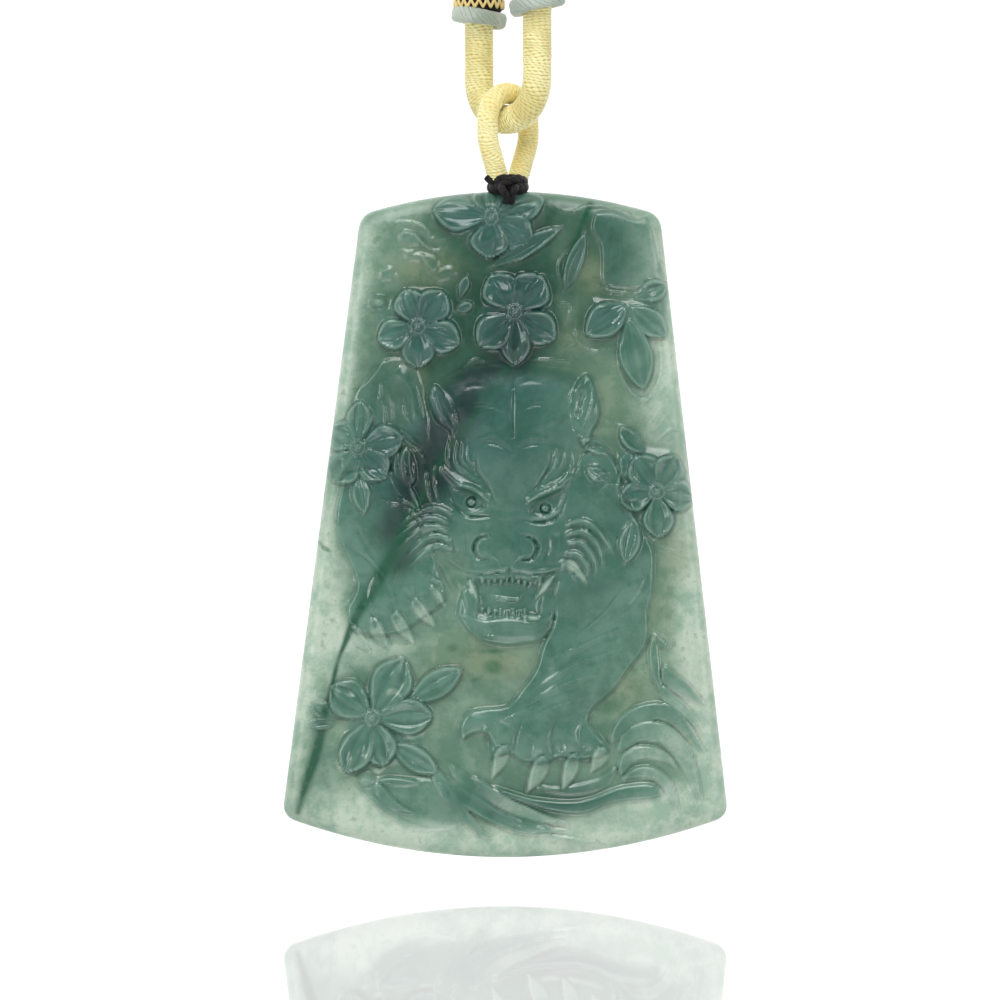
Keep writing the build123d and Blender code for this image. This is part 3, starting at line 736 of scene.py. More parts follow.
def to_line(x, up, line):
    """Distance of each place from a line, the share along it, 0 to 1, and the side, -1 or 1."""
    steps = np.hypot(*np.diff(line, axis=0).T)
    starts = np.concatenate([[0], np.cumsum(steps)])
    nearest, share, side = np.full(x.shape, 1e9), np.zeros(x.shape), np.ones(x.shape)
    for (ax, ay), (bx, by), start, step in zip(line, line[1:], starts, steps):
        dx, dy = bx - ax, by - ay
        along = np.clip(((x - ax) * dx + (up - ay) * dy) / (dx * dx + dy * dy + 1e-12), 0, 1)
        away = np.hypot(x - ax - along * dx, up - ay - along * dy)
        closer = away < nearest
        nearest = np.where(closer, away, nearest)
        share = np.where(closer, (start + along * step) / starts[-1], share)
        side = np.where(closer, np.sign(dx * (up - ay) - dy * (x - ax)), side)
    return nearest, share, side


def near(x, up, points, reach):
    """The places within reach of the box around some points."""
    p = np.array(points, float)
    low, high = p.min(axis=0) - reach, p.max(axis=0) + reach
    return (x > low[0]) & (x < high[0]) & (up > low[1]) & (up < high[1])


def mass(x, up, step, swell, width, outline):
    """An area with a crisp step at its outline and a soft swell inside it."""
    result = np.zeros(x.shape)
    pick = near(x, up, outline, 1.0)
    px, pup = x[pick], up[pick]
    line = bent(outline + outline[:1], 4)
    inside = np.zeros(px.shape, bool)
    for (ax, ay), (bx, by) in zip(line, line[1:]):
        if ay != by:
            crosses = (ay > pup) != (by > pup)
            inside ^= crosses & (px < (bx - ax) * (pup - ay) / (by - ay) + ax)
    depth = np.where(inside, to_line(px, pup, line)[0], 0)
    result[pick] = step * smooth(0, 0.4, depth) + swell * smooth(0, width, depth)
    return result


def petal_place(x, up, width, foot, tip, widest):
    """Where a place lies in a petal: the share along it, millimetres across, and half its width."""
    dx, dy = tip[0] - foot[0], tip[1] - foot[1]
    length = np.hypot(dx, dy)
    along = ((x - foot[0]) * dx + (up - foot[1]) * dy) / length**2
    across = ((up - foot[1]) * dx - (x - foot[0]) * dy) / length
    within = np.clip(along, 0, 1)
    half = width / 2 * np.sin(np.pi * within ** (np.log(0.5) / np.log(widest))) ** 0.75
    return along, across, np.where((along > 0) & (along < 1), half, 0) + 1e-6


def petal(x, up, height, width, foot, tip, widest=0.5, lean=0.12, folds=0.04):
    """A petal or leaf: a cupped blade with a lifted rim and tip, three folds, and one side higher."""
    result = np.zeros(x.shape)
    pick = near(x, up, [foot, tip], width / 2)
    along, across, half = petal_place(x[pick], up[pick], width, foot, tip, widest)
    rise = smooth(0, 0.36, half - np.abs(across)) * (0.45 + 0.55 * smooth(0, 0.6, along))
    share = np.minimum(np.abs(across) / half, 1)
    cup = 0.5 + 0.5 * share**1.1 + folds * np.cos(3 * np.pi * share) * smooth(0.1, 0.5, along)
    lift = 1 + 0.2 * smooth(0.6, 1, along) + lean * np.clip(across / half, -1, 1)
    result[pick] = height * rise * cup * lift
    return result


def petal_veins(x, up, width, foot, tip, widest=0.5):
    """The place across a petal as a share from -1 to 1, and 0 outside it."""
    along, across, half = petal_place(x, up, width, foot, tip, widest)
    share = across / half
    return np.where(np.abs(share) < 0.9, share, 0)


def dome(x, up, height, half_width, half_height, middle):
    """A low round swelling, or a hollow."""
    out = np.hypot((x - middle[0]) / half_width, (up - middle[1]) / half_height)
    return height * smooth(0, 0.9, 1 - out)


def ring(x, up, height, width, radius, middle):
    """A raised ring round a place."""
    away = np.hypot(x - middle[0], up - middle[1]) - radius
    return height * smooth(0, 1, 1 - np.abs(away) / (width / 2))


def stroke(x, up, height, width, route, thin=0.0):
    """A ridge along a bent route, or a groove, that can thin out towards its ends."""
    result = np.zeros(x.shape)
    pick = near(x, up, route, width + 0.8)
    away, share, _ = to_line(x[pick], up[pick], bent(route))
    body = 1 - thin * (2 * np.abs(share - 0.5)) ** 2
    result[pick] = height * body * np.clip(1 - away / (width / 2 * np.maximum(body, 0.2)), 0, 1) ** 1.2
    return result


def blade(x, up, height, width, route, lean=1):
    """A flat blade that tapers to a point and leans to one side, and the share along it."""
    result, along = np.zeros(x.shape), np.zeros(x.shape)
    pick = near(x, up, route, width)
    away, share, side = to_line(x[pick], up[pick], bent(route))
    half = width / 2 * np.sin(np.pi * np.clip(share, 0, 1) ** 0.62) ** 0.8 + 1e-6
    tilt = 0.68 + 0.32 * lean * side * np.minimum(away / half, 1)
    result[pick] = height * smooth(0, 0.34, half - away) * tilt
    along[pick] = share
    return result, along


# %% [markdown]
# ## The carving: big forms
# The subject is an old favourite of jade carvers: a tiger that comes down between rocks and
# plum blossoms. The tables give places in millimetres from the middle of the lowest edge.
# Read them as a carver would plan the stone: first the head, the body, the paws and the
# rocks as quiet masses with crisp outlines, then blossoms, leaves and grass on top of them.

# %% Masses
# Crisp step, soft swell, width of the swell, outline
MASSES = [
    # head and jaw
    (0.06, 0.6, 3.4, [
        (-6.2, 43.0), (-3.6, 44.3), (0.5, 44.6), (4.4, 44.4), (7.3, 43.5), (8.5, 41.0),
        (8.0, 37.6), (7.4, 34.9), (8.0, 31.0), (8.4, 27.4), (6.6, 24.4), (4.4, 22.4),
        (4.3, 21.3), (3.4, 20.0), (1.8, 19.2), (-0.3, 19.0), (-2.4, 19.2), (-4.1, 20.3),
        (-4.8, 21.9), (-4.8, 24.4), (-5.3, 26.4), (-9.0, 26.6), (-10.2, 28.8), (-9.6, 31.4),
        (-7.0, 33.2), (-6.2, 37.0), (-7.2, 40.6)]),
    # chin
    (0.32, 0.3, 1.3, [
        (-4.8, 21.9), (-3.7, 20.2), (-2.3, 19.3), (-0.3, 18.9), (1.4, 19.0), (3.0, 19.4), (4.1, 20.7),
        (4.4, 22.2), (4.2, 24.0), (2.6, 24.8), (-3.2, 24.8), (-4.4, 23.8)]),
    # shoulder and far paw
    (0.38, 0.4, 2.2, [
        (-14.9, 34.6), (-15.7, 31.0), (-15.4, 28.7), (-14.4, 26.4), (-13.8, 24.6), (-14.6, 22.5),
        (-14.4, 20.7), (-12.6, 19.9), (-9.7, 20.1), (-7.4, 21.6), (-5.4, 23.4), (-6.3, 26.8),
        (-7.8, 32.0), (-9.6, 34.6), (-12.4, 35.2)]),
    # body and near leg
    (0.42, 0.55, 2.8, [
        (6.2, 36.0), (7.8, 37.0), (9.4, 36.2), (10.4, 34.0), (11.0, 32.0), (12.2, 29.8), (13.2, 27.8), (13.3, 26.4), (13.2, 23.9), (12.8, 22.2), (12.8, 20.2),
        (12.4, 18.8), (11.2, 17.2), (9.6, 15.0), (7.9, 13.5), (7.4, 12.4), (8.0, 11.4), (9.2, 10.1),
        (8.6, 9.1), (6.6, 8.7), (4.8, 8.9), (3.2, 8.4), (1.4, 8.5), (0.0, 9.3), (-1.6, 9.0), (-2.0, 11.0),
        (-3.6, 10.8), (-4.2, 10.2), (-4.5, 11.9), (-3.7, 13.2), (-2.4, 13.6), (-0.1, 13.9), (1.1, 15.3),
        (2.3, 17.0), (2.9, 19.0), (3.6, 20.4), (4.0, 21.6), (4.0, 23.4), (4.2, 25.6),
        (4.8, 28.6), (5.3, 33.0)]),
    # rocks on the left
    (0.14, 0.2, 1.6, [
        (-13.6, 38.8), (-13.9, 41.4), (-12.8, 43.2), (-11.2, 44.9), (-9.6, 45.1), (-8.4, 44.3),
        (-7.4, 42.4), (-7.2, 39.8), (-7.0, 37.4), (-8.6, 36.4), (-11.4, 37.4)]),
    (0.16, 0.55, 2.0, [
        (-11.0, 44.0), (-9.6, 44.9), (-8.0, 44.0), (-7.4, 41.8), (-6.9, 39.4), (-7.2, 37.8), (-8.6, 38.0),
        (-9.4, 39.2), (-9.6, 41.0), (-10.6, 42.2)]),
    (0.35, 0.4, 1.2, [
        (-9.2, 37.3), (-10.4, 36.2), (-10.7, 34.9), (-10.1, 33.9), (-8.9, 33.2), (-8.1, 33.9), (-8.2, 35.6),
        (-8.6, 36.8)]),
    # ears
    (0.42, 0.35, 1.1, [
        (-7.4, 41.5), (-7.1, 42.4), (-6.5, 42.7), (-5.9, 42.2), (-5.3, 41.3), (-4.8, 40.6), (-4.2, 40.0),
        (-3.9, 39.0), (-4.3, 37.9), (-5.0, 37.4), (-5.5, 38.3), (-6.4, 39.0), (-7.0, 40.1)]),
    (0.42, 0.35, 1.1, [
        (5.7, 42.4), (6.3, 43.2), (7.1, 43.7), (7.9, 42.9), (8.2, 41.8), (8.5, 40.6), (8.4, 39.4), (7.8, 38.3),
        (7.5, 37.3), (6.6, 36.9), (6.0, 37.8), (5.0, 38.5), (4.8, 39.9), (5.3, 41.1)]),
    # smooth rock face at the upper right
    (0.24, 0.04, 1.5, [
        (7.7, 58.2), (9.7, 58.4), (11.5, 57.6), (12.8, 57.9), (13.8, 54.0), (14.4, 51.9), (11.3, 51.1),
        (9.3, 51.2), (8.3, 52.0), (8.2, 54.8), (7.4, 56.6)]),
    # pads under the blossoms
    (0.0, 0.34, 1.3, [
        (-7.0, 58.9), (-7.1, 57.0), (-4.4, 55.8), (-3.8, 55.0), (-2.0, 53.7), (-1.0, 54.6), (1.6, 55.0),
        (3.1, 56.6), (3.7, 58.6), (3.0, 59.8), (-4.6, 59.6)]),
    (0.0, 0.34, 1.3, [
        (-12.6, 50.8), (-11.0, 50.3), (-9.2, 51.6), (-5.2, 51.2), (-4.2, 48.6), (-3.9, 46.2), (-6.2, 45.2),
        (-8.0, 43.8), (-9.8, 45.2), (-12.0, 46.2), (-12.2, 48.0), (-13.0, 49.4)]),
    (0.0, 0.34, 1.3, [
        (-2.6, 52.6), (0.6, 52.0), (3.6, 52.8), (4.4, 50.0), (4.8, 46.8), (2.6, 46.0), (0.7, 44.0),
        (-1.2, 45.4), (-3.0, 46.0), (-3.2, 48.8), (-2.4, 50.6)]),
    (0.0, 0.34, 1.3, [
        (6.5, 49.2), (7.6, 50.8), (10.4, 50.4), (14.6, 51.8), (14.9, 48.0), (14.4, 46.4), (13.2, 46.2),
        (13.4, 43.6), (12.0, 41.6), (10.4, 43.8), (9.6, 46.8), (7.0, 46.4)]),
    (0.0, 0.34, 1.3, [
        (-15.9, 39.0), (-14.2, 39.2), (-13.3, 41.4), (-12.2, 39.8), (-9.6, 38.6), (-9.2, 36.8), (-10.8, 34.0),
        (-13.4, 34.6), (-15.4, 33.6), (-16.0, 35.6)]),
    (0.0, 0.34, 1.3, [
        (9.4, 36.0), (10.0, 38.6), (12.6, 37.4), (15.4, 36.8), (16.9, 33.6), (16.2, 31.0), (13.6, 28.4),
        (10.4, 26.4), (10.0, 28.8), (11.0, 31.0), (9.7, 32.4)]),
    (0.0, 0.34, 1.3, [
        (-9.4, 18.3), (-11.4, 17.2), (-13.4, 15.4), (-15.6, 16.1), (-16.3, 14.4), (-15.4, 12.4), (-15.2, 9.8),
        (-14.6, 7.2), (-12.6, 8.0), (-11.2, 7.8), (-8.8, 8.0), (-6.2, 7.4), (-6.6, 9.6), (-7.0, 11.2),
        (-6.3, 12.8), (-6.0, 14.0), (-3.8, 16.4), (-4.6, 17.3), (-8.2, 16.2)]),
    # small clouds at the upper left
    (0.16, 0.1, 0.5, [
        (-10.1, 55.6), (-9.5, 56.6), (-8.2, 56.3), (-7.4, 55.4), (-8.2, 54.9), (-9.2, 55.1)]),
    (0.12, 0.1, 0.5, [
        (-9.6, 54.6), (-7.8, 54.6), (-6.4, 54.2), (-6.0, 53.2), (-7.0, 52.3), (-7.8, 53.4), (-9.2, 53.6)]),
    (0.12, 0.1, 0.5, [
        (-6.6, 53.0), (-5.2, 53.4), (-4.4, 52.6), (-5.2, 51.9), (-6.6, 51.8)]),
    (0.12, 0.1, 0.5, [
        (-11.8, 52.8), (-10.6, 53.4), (-9.8, 52.6), (-10.4, 51.8), (-11.6, 51.9)]),
    # ground that swells round the bud at the lower left
    (0.22, 0.1, 1.5, [
        (-14.2, 7.4), (-13.3, 5.9), (-11.2, 4.0), (-7.3, 2.6), (-4.2, 2.8), (-4.8, 4.6), (-6.6, 7.2)]),
    # the dark waves across the bottom
    (0.22, 0.1, 1.2, [
        (-5.6, 9.0), (-4.8, 6.8), (-2.3, 4.6), (1.2, 2.6), (4.0, 2.2), (3.0, 3.6), (-0.8, 4.6), (-3.4, 7.4)]),
    (0.3, 0.15, 1.2, [
        (-1.6, 6.8), (1.1, 5.9), (3.0, 5.5), (6.5, 5.4), (10.0, 6.6), (13.2, 6.8), (13.8, 5.3), (9.8, 4.8),
        (6.9, 3.8), (4.0, 4.0), (1.1, 4.9), (-1.0, 5.6)]),
]
# Sunk places: crisp step, soft swell, width, outline
HOLLOWS = [
    (-0.24, -0.16, 0.8, [
        (-5.2, 33.2), (-4.3, 33.4), (-3.2, 33.1), (-1.7, 31.7), (-2.4, 31.1), (-3.3, 30.9), (-4.4, 31.1),
        (-5.0, 32.0)]),
    (-0.24, -0.16, 0.8, [
        (1.6, 31.4), (3.1, 32.6), (4.4, 33.1), (5.1, 32.9), (4.9, 31.6), (4.2, 30.9), (3.2, 30.5), (2.1, 30.7)]),
    (-0.2, -0.3, 0.9, [
        (-4.0, 25.5), (-2.3, 25.3), (0.1, 25.45), (2.4, 25.35), (3.9, 25.6), (3.5, 24.2), (3.1, 22.8), (3.0, 21.8),
        (1.9, 21.4), (0.7, 21.5), (-0.6, 21.5), (-2.0, 21.3), (-3.1, 21.7), (-2.9, 23.0), (-3.5, 24.2)]),
    (-0.06, -0.3, 0.7, [
        (-6.7, 41.9), (-6.1, 41.8), (-5.6, 40.9), (-5.1, 40.1), (-4.7, 39.2), (-4.9, 38.5), (-5.5, 39.1),
        (-6.2, 40.0), (-6.6, 41.0)]),
    (-0.06, -0.35, 0.7, [
        (5.8, 40.0), (5.9, 41.2), (6.4, 42.2), (7.0, 42.0), (7.1, 40.9), (6.7, 39.8), (6.2, 39.3)]),
]
# Swellings, sunk when the height is negative: height, half width, half height, middle
DOMES = [
    (0.45, 4.2, 5.6, (0.6, 36.2)), (0.16, 3.4, 2.4, (-1.9, 39.6)), (0.16, 3.4, 2.4, (2.9, 39.4)),
    (0.2, 3.9, 2.6, (-0.2, 27.4)), (0.2, 1.9, 4.0, (-0.1, 30.4)), (0.12, 2.5, 1.7, (-0.2, 27.4)),
    (-0.12, 1.6, 1.2, (-4.4, 30.0)), (-0.12, 1.6, 1.2, (4.6, 29.8)),
    (0.25, 1.7, 2.8, (-5.0, 28.2)), (0.25, 1.7, 2.8, (4.7, 28.0)),
    (0.35, 1.0, 0.9, (-3.3, 32.0)), (0.35, 1.0, 0.9, (3.35, 31.45)),
    (0.2, 3.6, 1.9, (-0.1, 20.6)),
    (0.18, 1.5, 1.9, (-0.6, 10.6)), (0.22, 1.7, 2.4, (2.7, 10.2)), (0.22, 1.5, 2.3, (5.5, 10.4)),
    (0.18, 1.3, 1.8, (7.7, 10.9)), (0.12, 1.7, 1.4, (-3.0, 12.3)),
    (0.12, 1.6, 1.8, (-13.0, 22.8)), (0.12, 1.5, 1.8, (-10.8, 23.2)), (0.12, 1.5, 1.8, (-8.6, 24.0)),
    (0.25, 4.0, 5.0, (9.4, 24.0)), (0.25, 3.0, 4.5, (5.4, 15.6)),
    (0.5, 1.1, 1.0, (-12.8, 7.0)), (0.7, 1.0, 0.8, (-11.6, 50.0)),
]

# %% [markdown]
# ## The carving: blossoms, leaves and grass
# Each blossom has broad petals that nearly touch, a ringed eye, and a pad that lifts it off
# the ground. Leaves are the same form with its widest place nearer to the foot. Grass, waves,
# claws and fangs are blades that lean to one side, because a flat facet catches the light as
# one clear shape. The thin ones are listed as pale: they get painted light, a paler colour
# as if light shone through them.

# %% Blossoms, leaves and grass
# Blossoms: height, centre, then width and tip of each petal
BLOSSOMS = [
    (0.6, (-1.5, 57.6), [
        (3.7, (-6.8, 58.3)), (3.5, (-1.8, 60.6)), (3.2, (3.3, 59.3)), (3.6, (2.2, 55.5)), (4.0, (-1.7, 53.9))]),
    (0.6, (-8.1, 47.8), [
        (3.4, (-9.3, 51.2)), (3.5, (-5.7, 51.0)), (3.4, (-4.3, 46.2)), (3.4, (-8.1, 44.0)), (3.2, (-11.8, 46.6))]),
    (0.62, (0.6, 49.1), [
        (3.8, (-1.6, 52.5)), (4.1, (3.1, 52.4)), (3.5, (4.3, 46.6)), (3.2, (0.7, 44.2)), (3.6, (-2.7, 46.0))]),
    (0.55, (-13.5, 36.9), [
        (3.4, (-16.0, 38.7)), (2.6, (-13.3, 41.2)), (3.4, (-9.4, 37.8)), (3.5, (-11.0, 34.1)), (3.6, (-15.8, 33.8))]),
    (0.6, (13.4, 32.9), [
        (3.1, (10.0, 32.2)), (3.5, (11.4, 36.2)), (3.2, (15.2, 36.2)), (3.2, (16.8, 32.3)), (3.2, (13.6, 28.7))]),
    (0.62, (-12.2, 12.6), [
        (4.1, (-9.3, 18.0)), (3.7, (-6.7, 12.8)), (3.6, (-11.2, 8.2)), (3.5, (-14.7, 7.6)), (4.0, (-16.0, 15.5))]),
]
# Leaves: height, width, foot, tip, widest place along it
LEAVES = [
    (0.65, 3.4, (10.7, 49.8), (6.9, 47.0), 0.5), (0.6, 2.7, (10.9, 49.8), (14.3, 46.8), 0.55),
    (0.65, 3.4, (10.8, 48.6), (12.2, 42.0), 0.52), (0.6, 2.3, (11.1, 50.3), (14.4, 51.5), 0.6),
    (0.6, 2.0, (-13.4, 34.4), (-12.9, 30.8), 0.45), (0.6, 1.3, (-4.5, 50.0), (-3.6, 52.5), 0.6),
    (0.5, 1.3, (-5.0, 49.0), (-3.1, 49.9), 0.6), (0.5, 1.6, (9.5, 36.3), (6.3, 37.7), 0.5),
    (0.5, 1.6, (9.1, 33.8), (6.9, 35.2), 0.5), (0.6, 2.0, (12.3, 36.4), (9.9, 38.8), 0.5),
    (0.6, 2.3, (11.4, 30.6), (10.5, 26.4), 0.5), (0.65, 2.5, (-10.8, 10.4), (-6.2, 7.6), 0.55),
    (0.7, 2.8, (-9.0, 14.0), (-4.0, 17.1), 0.52), (0.55, 2.0, (-15.0, 12.6), (-17.9, 13.8), 0.5),
    (0.55, 1.5, (-15.4, 12.2), (-18.1, 12.0), 0.5), (0.55, 2.0, (-2.0, 52.9), (5.0, 56.8), 0.55),
    (0.6, 1.9, (5.0, 50.8), (7.0, 56.4), 0.5), (0.45, 1.2, (12.9, 20.4), (14.8, 18.6), 0.5),
    (0.4, 2.2, (10.6, 36.6), (10.9, 34.0), 0.5),
]
# Grass, waves and stems: height, width, route, lean
BLADES = [
    (0.5, 2.0, [(9.2, 10.4), (11.0, 12.4), (13.4, 13.2), (15.0, 12.6), (16.6, 10.8), (18.0, 8.9)], 1),
    (0.5, 1.7, [(14.0, 17.4), (14.6, 16.0), (15.8, 15.2), (18.0, 13.4)], 1),
    (0.45, 1.3, [(13.1, 20.0), (13.2, 17.6), (13.6, 15.6), (14.6, 14.0)], -1),
    (0.45, 1.4, [(-12.0, 6.8), (-10.6, 4.9), (-8.0, 3.9)], 1),
    (0.4, 1.2, [(-11.6, 7.0), (-9.6, 6.8), (-7.2, 6.6)], 1),
    (0.5, 1.6, [(-6.9, 8.2), (-5.4, 5.9), (-3.8, 3.6), (-2.3, 2.1), (-0.7, 1.7)], 1),
    (0.45, 1.8, [(-5.8, 7.4), (-4.2, 5.7), (-1.4, 3.9), (1.8, 2.6), (6.2, 2.4)], -1),
    (0.3, 1.0, [(1.0, 3.8), (3.4, 2.0), (6.6, 1.4), (10.6, 1.3)], 1),
    (0.3, 1.0, [(-12.4, 6.0), (-10.6, 3.8), (-7.7, 2.7), (-4.4, 2.6)], 1),
    (0.35, 1.3, [(9.8, 8.2), (8.2, 6.6), (4.6, 6.0), (1.4, 6.9)], -1),
]
# Locks of fur on the cheeks and the far paw: height, width, route, lean
FUR = [
    (0.5, 1.0, [(5.0, 29.9), (6.6, 30.2), (8.1, 29.3), (9.8, 26.9)], 1),
    (0.5, 1.0, [(5.1, 29.1), (6.8, 29.2), (8.1, 27.9), (8.7, 25.5)], 1),
    (0.5, 0.95, [(5.2, 28.3), (6.6, 28.2), (7.7, 26.8), (8.0, 24.9)], 1),
    (0.45, 0.95, [(5.0, 27.4), (6.2, 27.2), (7.1, 26.0), (6.8, 24.4)], 1),
    (0.35, 0.8, [(4.6, 26.5), (5.7, 26.2), (6.3, 24.6)], 1),
    (0.4, 0.9, [(-4.8, 30.9), (-7.0, 31.4), (-10.0, 29.9)], -1),
    (0.4, 0.9, [(-5.2, 30.1), (-7.4, 30.5), (-10.2, 28.8)], -1),
    (0.4, 0.9, [(-5.2, 29.3), (-7.4, 29.7), (-10.0, 27.8)], -1),
    (0.4, 0.9, [(-5.0, 28.5), (-7.0, 28.8), (-9.4, 26.9)], -1),
    (0.4, 0.9, [(-4.9, 27.7), (-6.8, 27.9), (-9.0, 26.1)], -1),
    (0.16, 0.7, [(-13.6, 25.6), (-14.4, 23.2), (-13.8, 20.8)], 1),
    (0.16, 0.7, [(-11.6, 26.0), (-12.4, 23.6), (-11.9, 21.2)], 1),
    (0.16, 0.7, [(-9.8, 26.4), (-10.4, 24.0), (-9.8, 21.8)], 1),
    (0.16, 0.7, [(-8.2, 26.6), (-8.6, 24.8), (-8.0, 23.0)], 1),
    (0.25, 0.7, [(-6.9, 26.4), (-6.6, 25.0), (-5.3, 24.0)], 1),
]
# Blades, claws and fangs painted pale, as light shining through thin stone: height, width, route, lean
PALE_BLADES = [
    (0.5, 2.1, [(9.8, 9.6), (11.4, 11.1), (13.6, 11.3), (15.4, 9.8), (16.6, 7.4), (17.6, 4.2)], 1),
    (0.45, 1.6, [(10.1, 7.5), (10.8, 8.9), (12.3, 9.5), (14.2, 9.0), (15.5, 7.6)], 1),
    (0.5, 1.4, [(10.2, 7.0), (11.9, 7.7), (13.4, 7.4), (14.6, 6.0), (15.6, 3.2)], 1),
    (0.5, 1.4, [(13.9, 15.6), (14.4, 14.4), (15.8, 13.2), (16.9, 12.1), (17.7, 10.8)], 1),
    (0.4, 0.9, [(13.2, 20.2), (13.8, 19.6), (14.6, 18.8)], 1),
    (0.5, 1.5, [(-3.2, 7.3), (-0.9, 5.2), (1.6, 4.1), (4.0, 3.3), (6.2, 2.9)], 1),
    # thin facets between petals
    (0.25, 0.9, [(-11.0, 14.2), (-10.4, 15.0), (-9.3, 14.3)], 1),
    (0.25, 0.7, [(-12.5, 8.3), (-11.6, 7.8), (-10.7, 8.4)], 1),
    (0.25, 0.6, [(-10.0, 11.4), (-8.5, 10.8), (-7.0, 11.6)], 1),
    (0.25, 0.6, [(-15.5, 8.9), (-14.9, 7.7), (-14.0, 7.1)], 1),
    # claws of the far paw
    (0.5, 1.3, [(-14.0, 21.0), (-13.4, 19.6), (-12.2, 18.3)], 1),
    (0.5, 1.5, [(-12.3, 21.6), (-11.7, 20.2), (-10.5, 18.6)], 1),
    (0.5, 1.5, [(-10.2, 22.2), (-9.6, 20.8), (-8.3, 19.1)], 1),
    (0.5, 1.4, [(-8.4, 23.4), (-7.8, 22.1), (-6.4, 20.6)], 1),
    (0.4, 1.0, [(-7.0, 24.5), (-6.3, 23.6), (-5.5, 22.4)], 1),
    # claws of the near paw
    (0.6, 1.6, [(-0.2, 10.2), (-0.7, 8.8), (-1.5, 7.0)], -1),
    (0.65, 1.8, [(3.3, 9.2), (2.7, 7.6), (1.6, 5.7)], -1),
    (0.65, 1.7, [(6.0, 9.4), (5.6, 7.8), (4.8, 5.9)], -1),
    (0.6, 1.7, [(8.7, 10.0), (8.2, 8.9), (7.4, 7.6)], -1),
    # fangs
    (0.6, 0.8, [(-3.5, 25.2), (-3.2, 24.3), (-2.6, 22.9)], 1),
    (0.6, 0.85, [(4.3, 25.5), (3.5, 24.6), (2.3, 23.0)], -1),
    (0.4, 0.6, [(2.9, 25.3), (2.9, 24.7), (2.6, 24.1)], -1),
    (0.4, 0.6, [(-2.8, 22.0), (-2.4, 21.8), (-1.3, 21.7)], 1),
    (0.45, 0.7, [(1.5, 21.8), (2.3, 21.6), (3.2, 21.6)], 1),
    # the pale lock beside the mouth
    (0.4, 1.1, [(4.5, 26.7), (5.7, 26.2), (6.7, 25.2), (7.2, 24.4)], 1),
]
# Brows and lips: height, width, route
RIBBONS = [
    (0.32, 1.2, [(-5.8, 35.0), (-4.4, 33.8), (-1.8, 32.7)]),
    (0.32, 1.2, [(6.2, 34.8), (4.8, 33.7), (1.9, 32.4)]),
    (0.16, 0.8, [(-5.3, 26.9), (-4.1, 26.0), (-2.6, 25.8), (0.1, 26.1), (3.0, 25.8), (4.7, 26.1), (6.2, 26.0)]),
    (0.14, 0.7, [(-3.8, 21.9), (-2.2, 21.05), (-0.6, 21.2), (0.8, 21.2), (2.2, 20.95), (3.9, 21.8)]),
]

# %% [markdown]
# ## The carving: fine cuts
# What makes the tiger a tiger is cut last and finest: stripes on the forehead, lids and
# pupils, fur that fans out from the cheeks, teeth, and long strokes of fur on the leg. These
# are only a few tenths of a millimetre deep. A groove has a negative height.

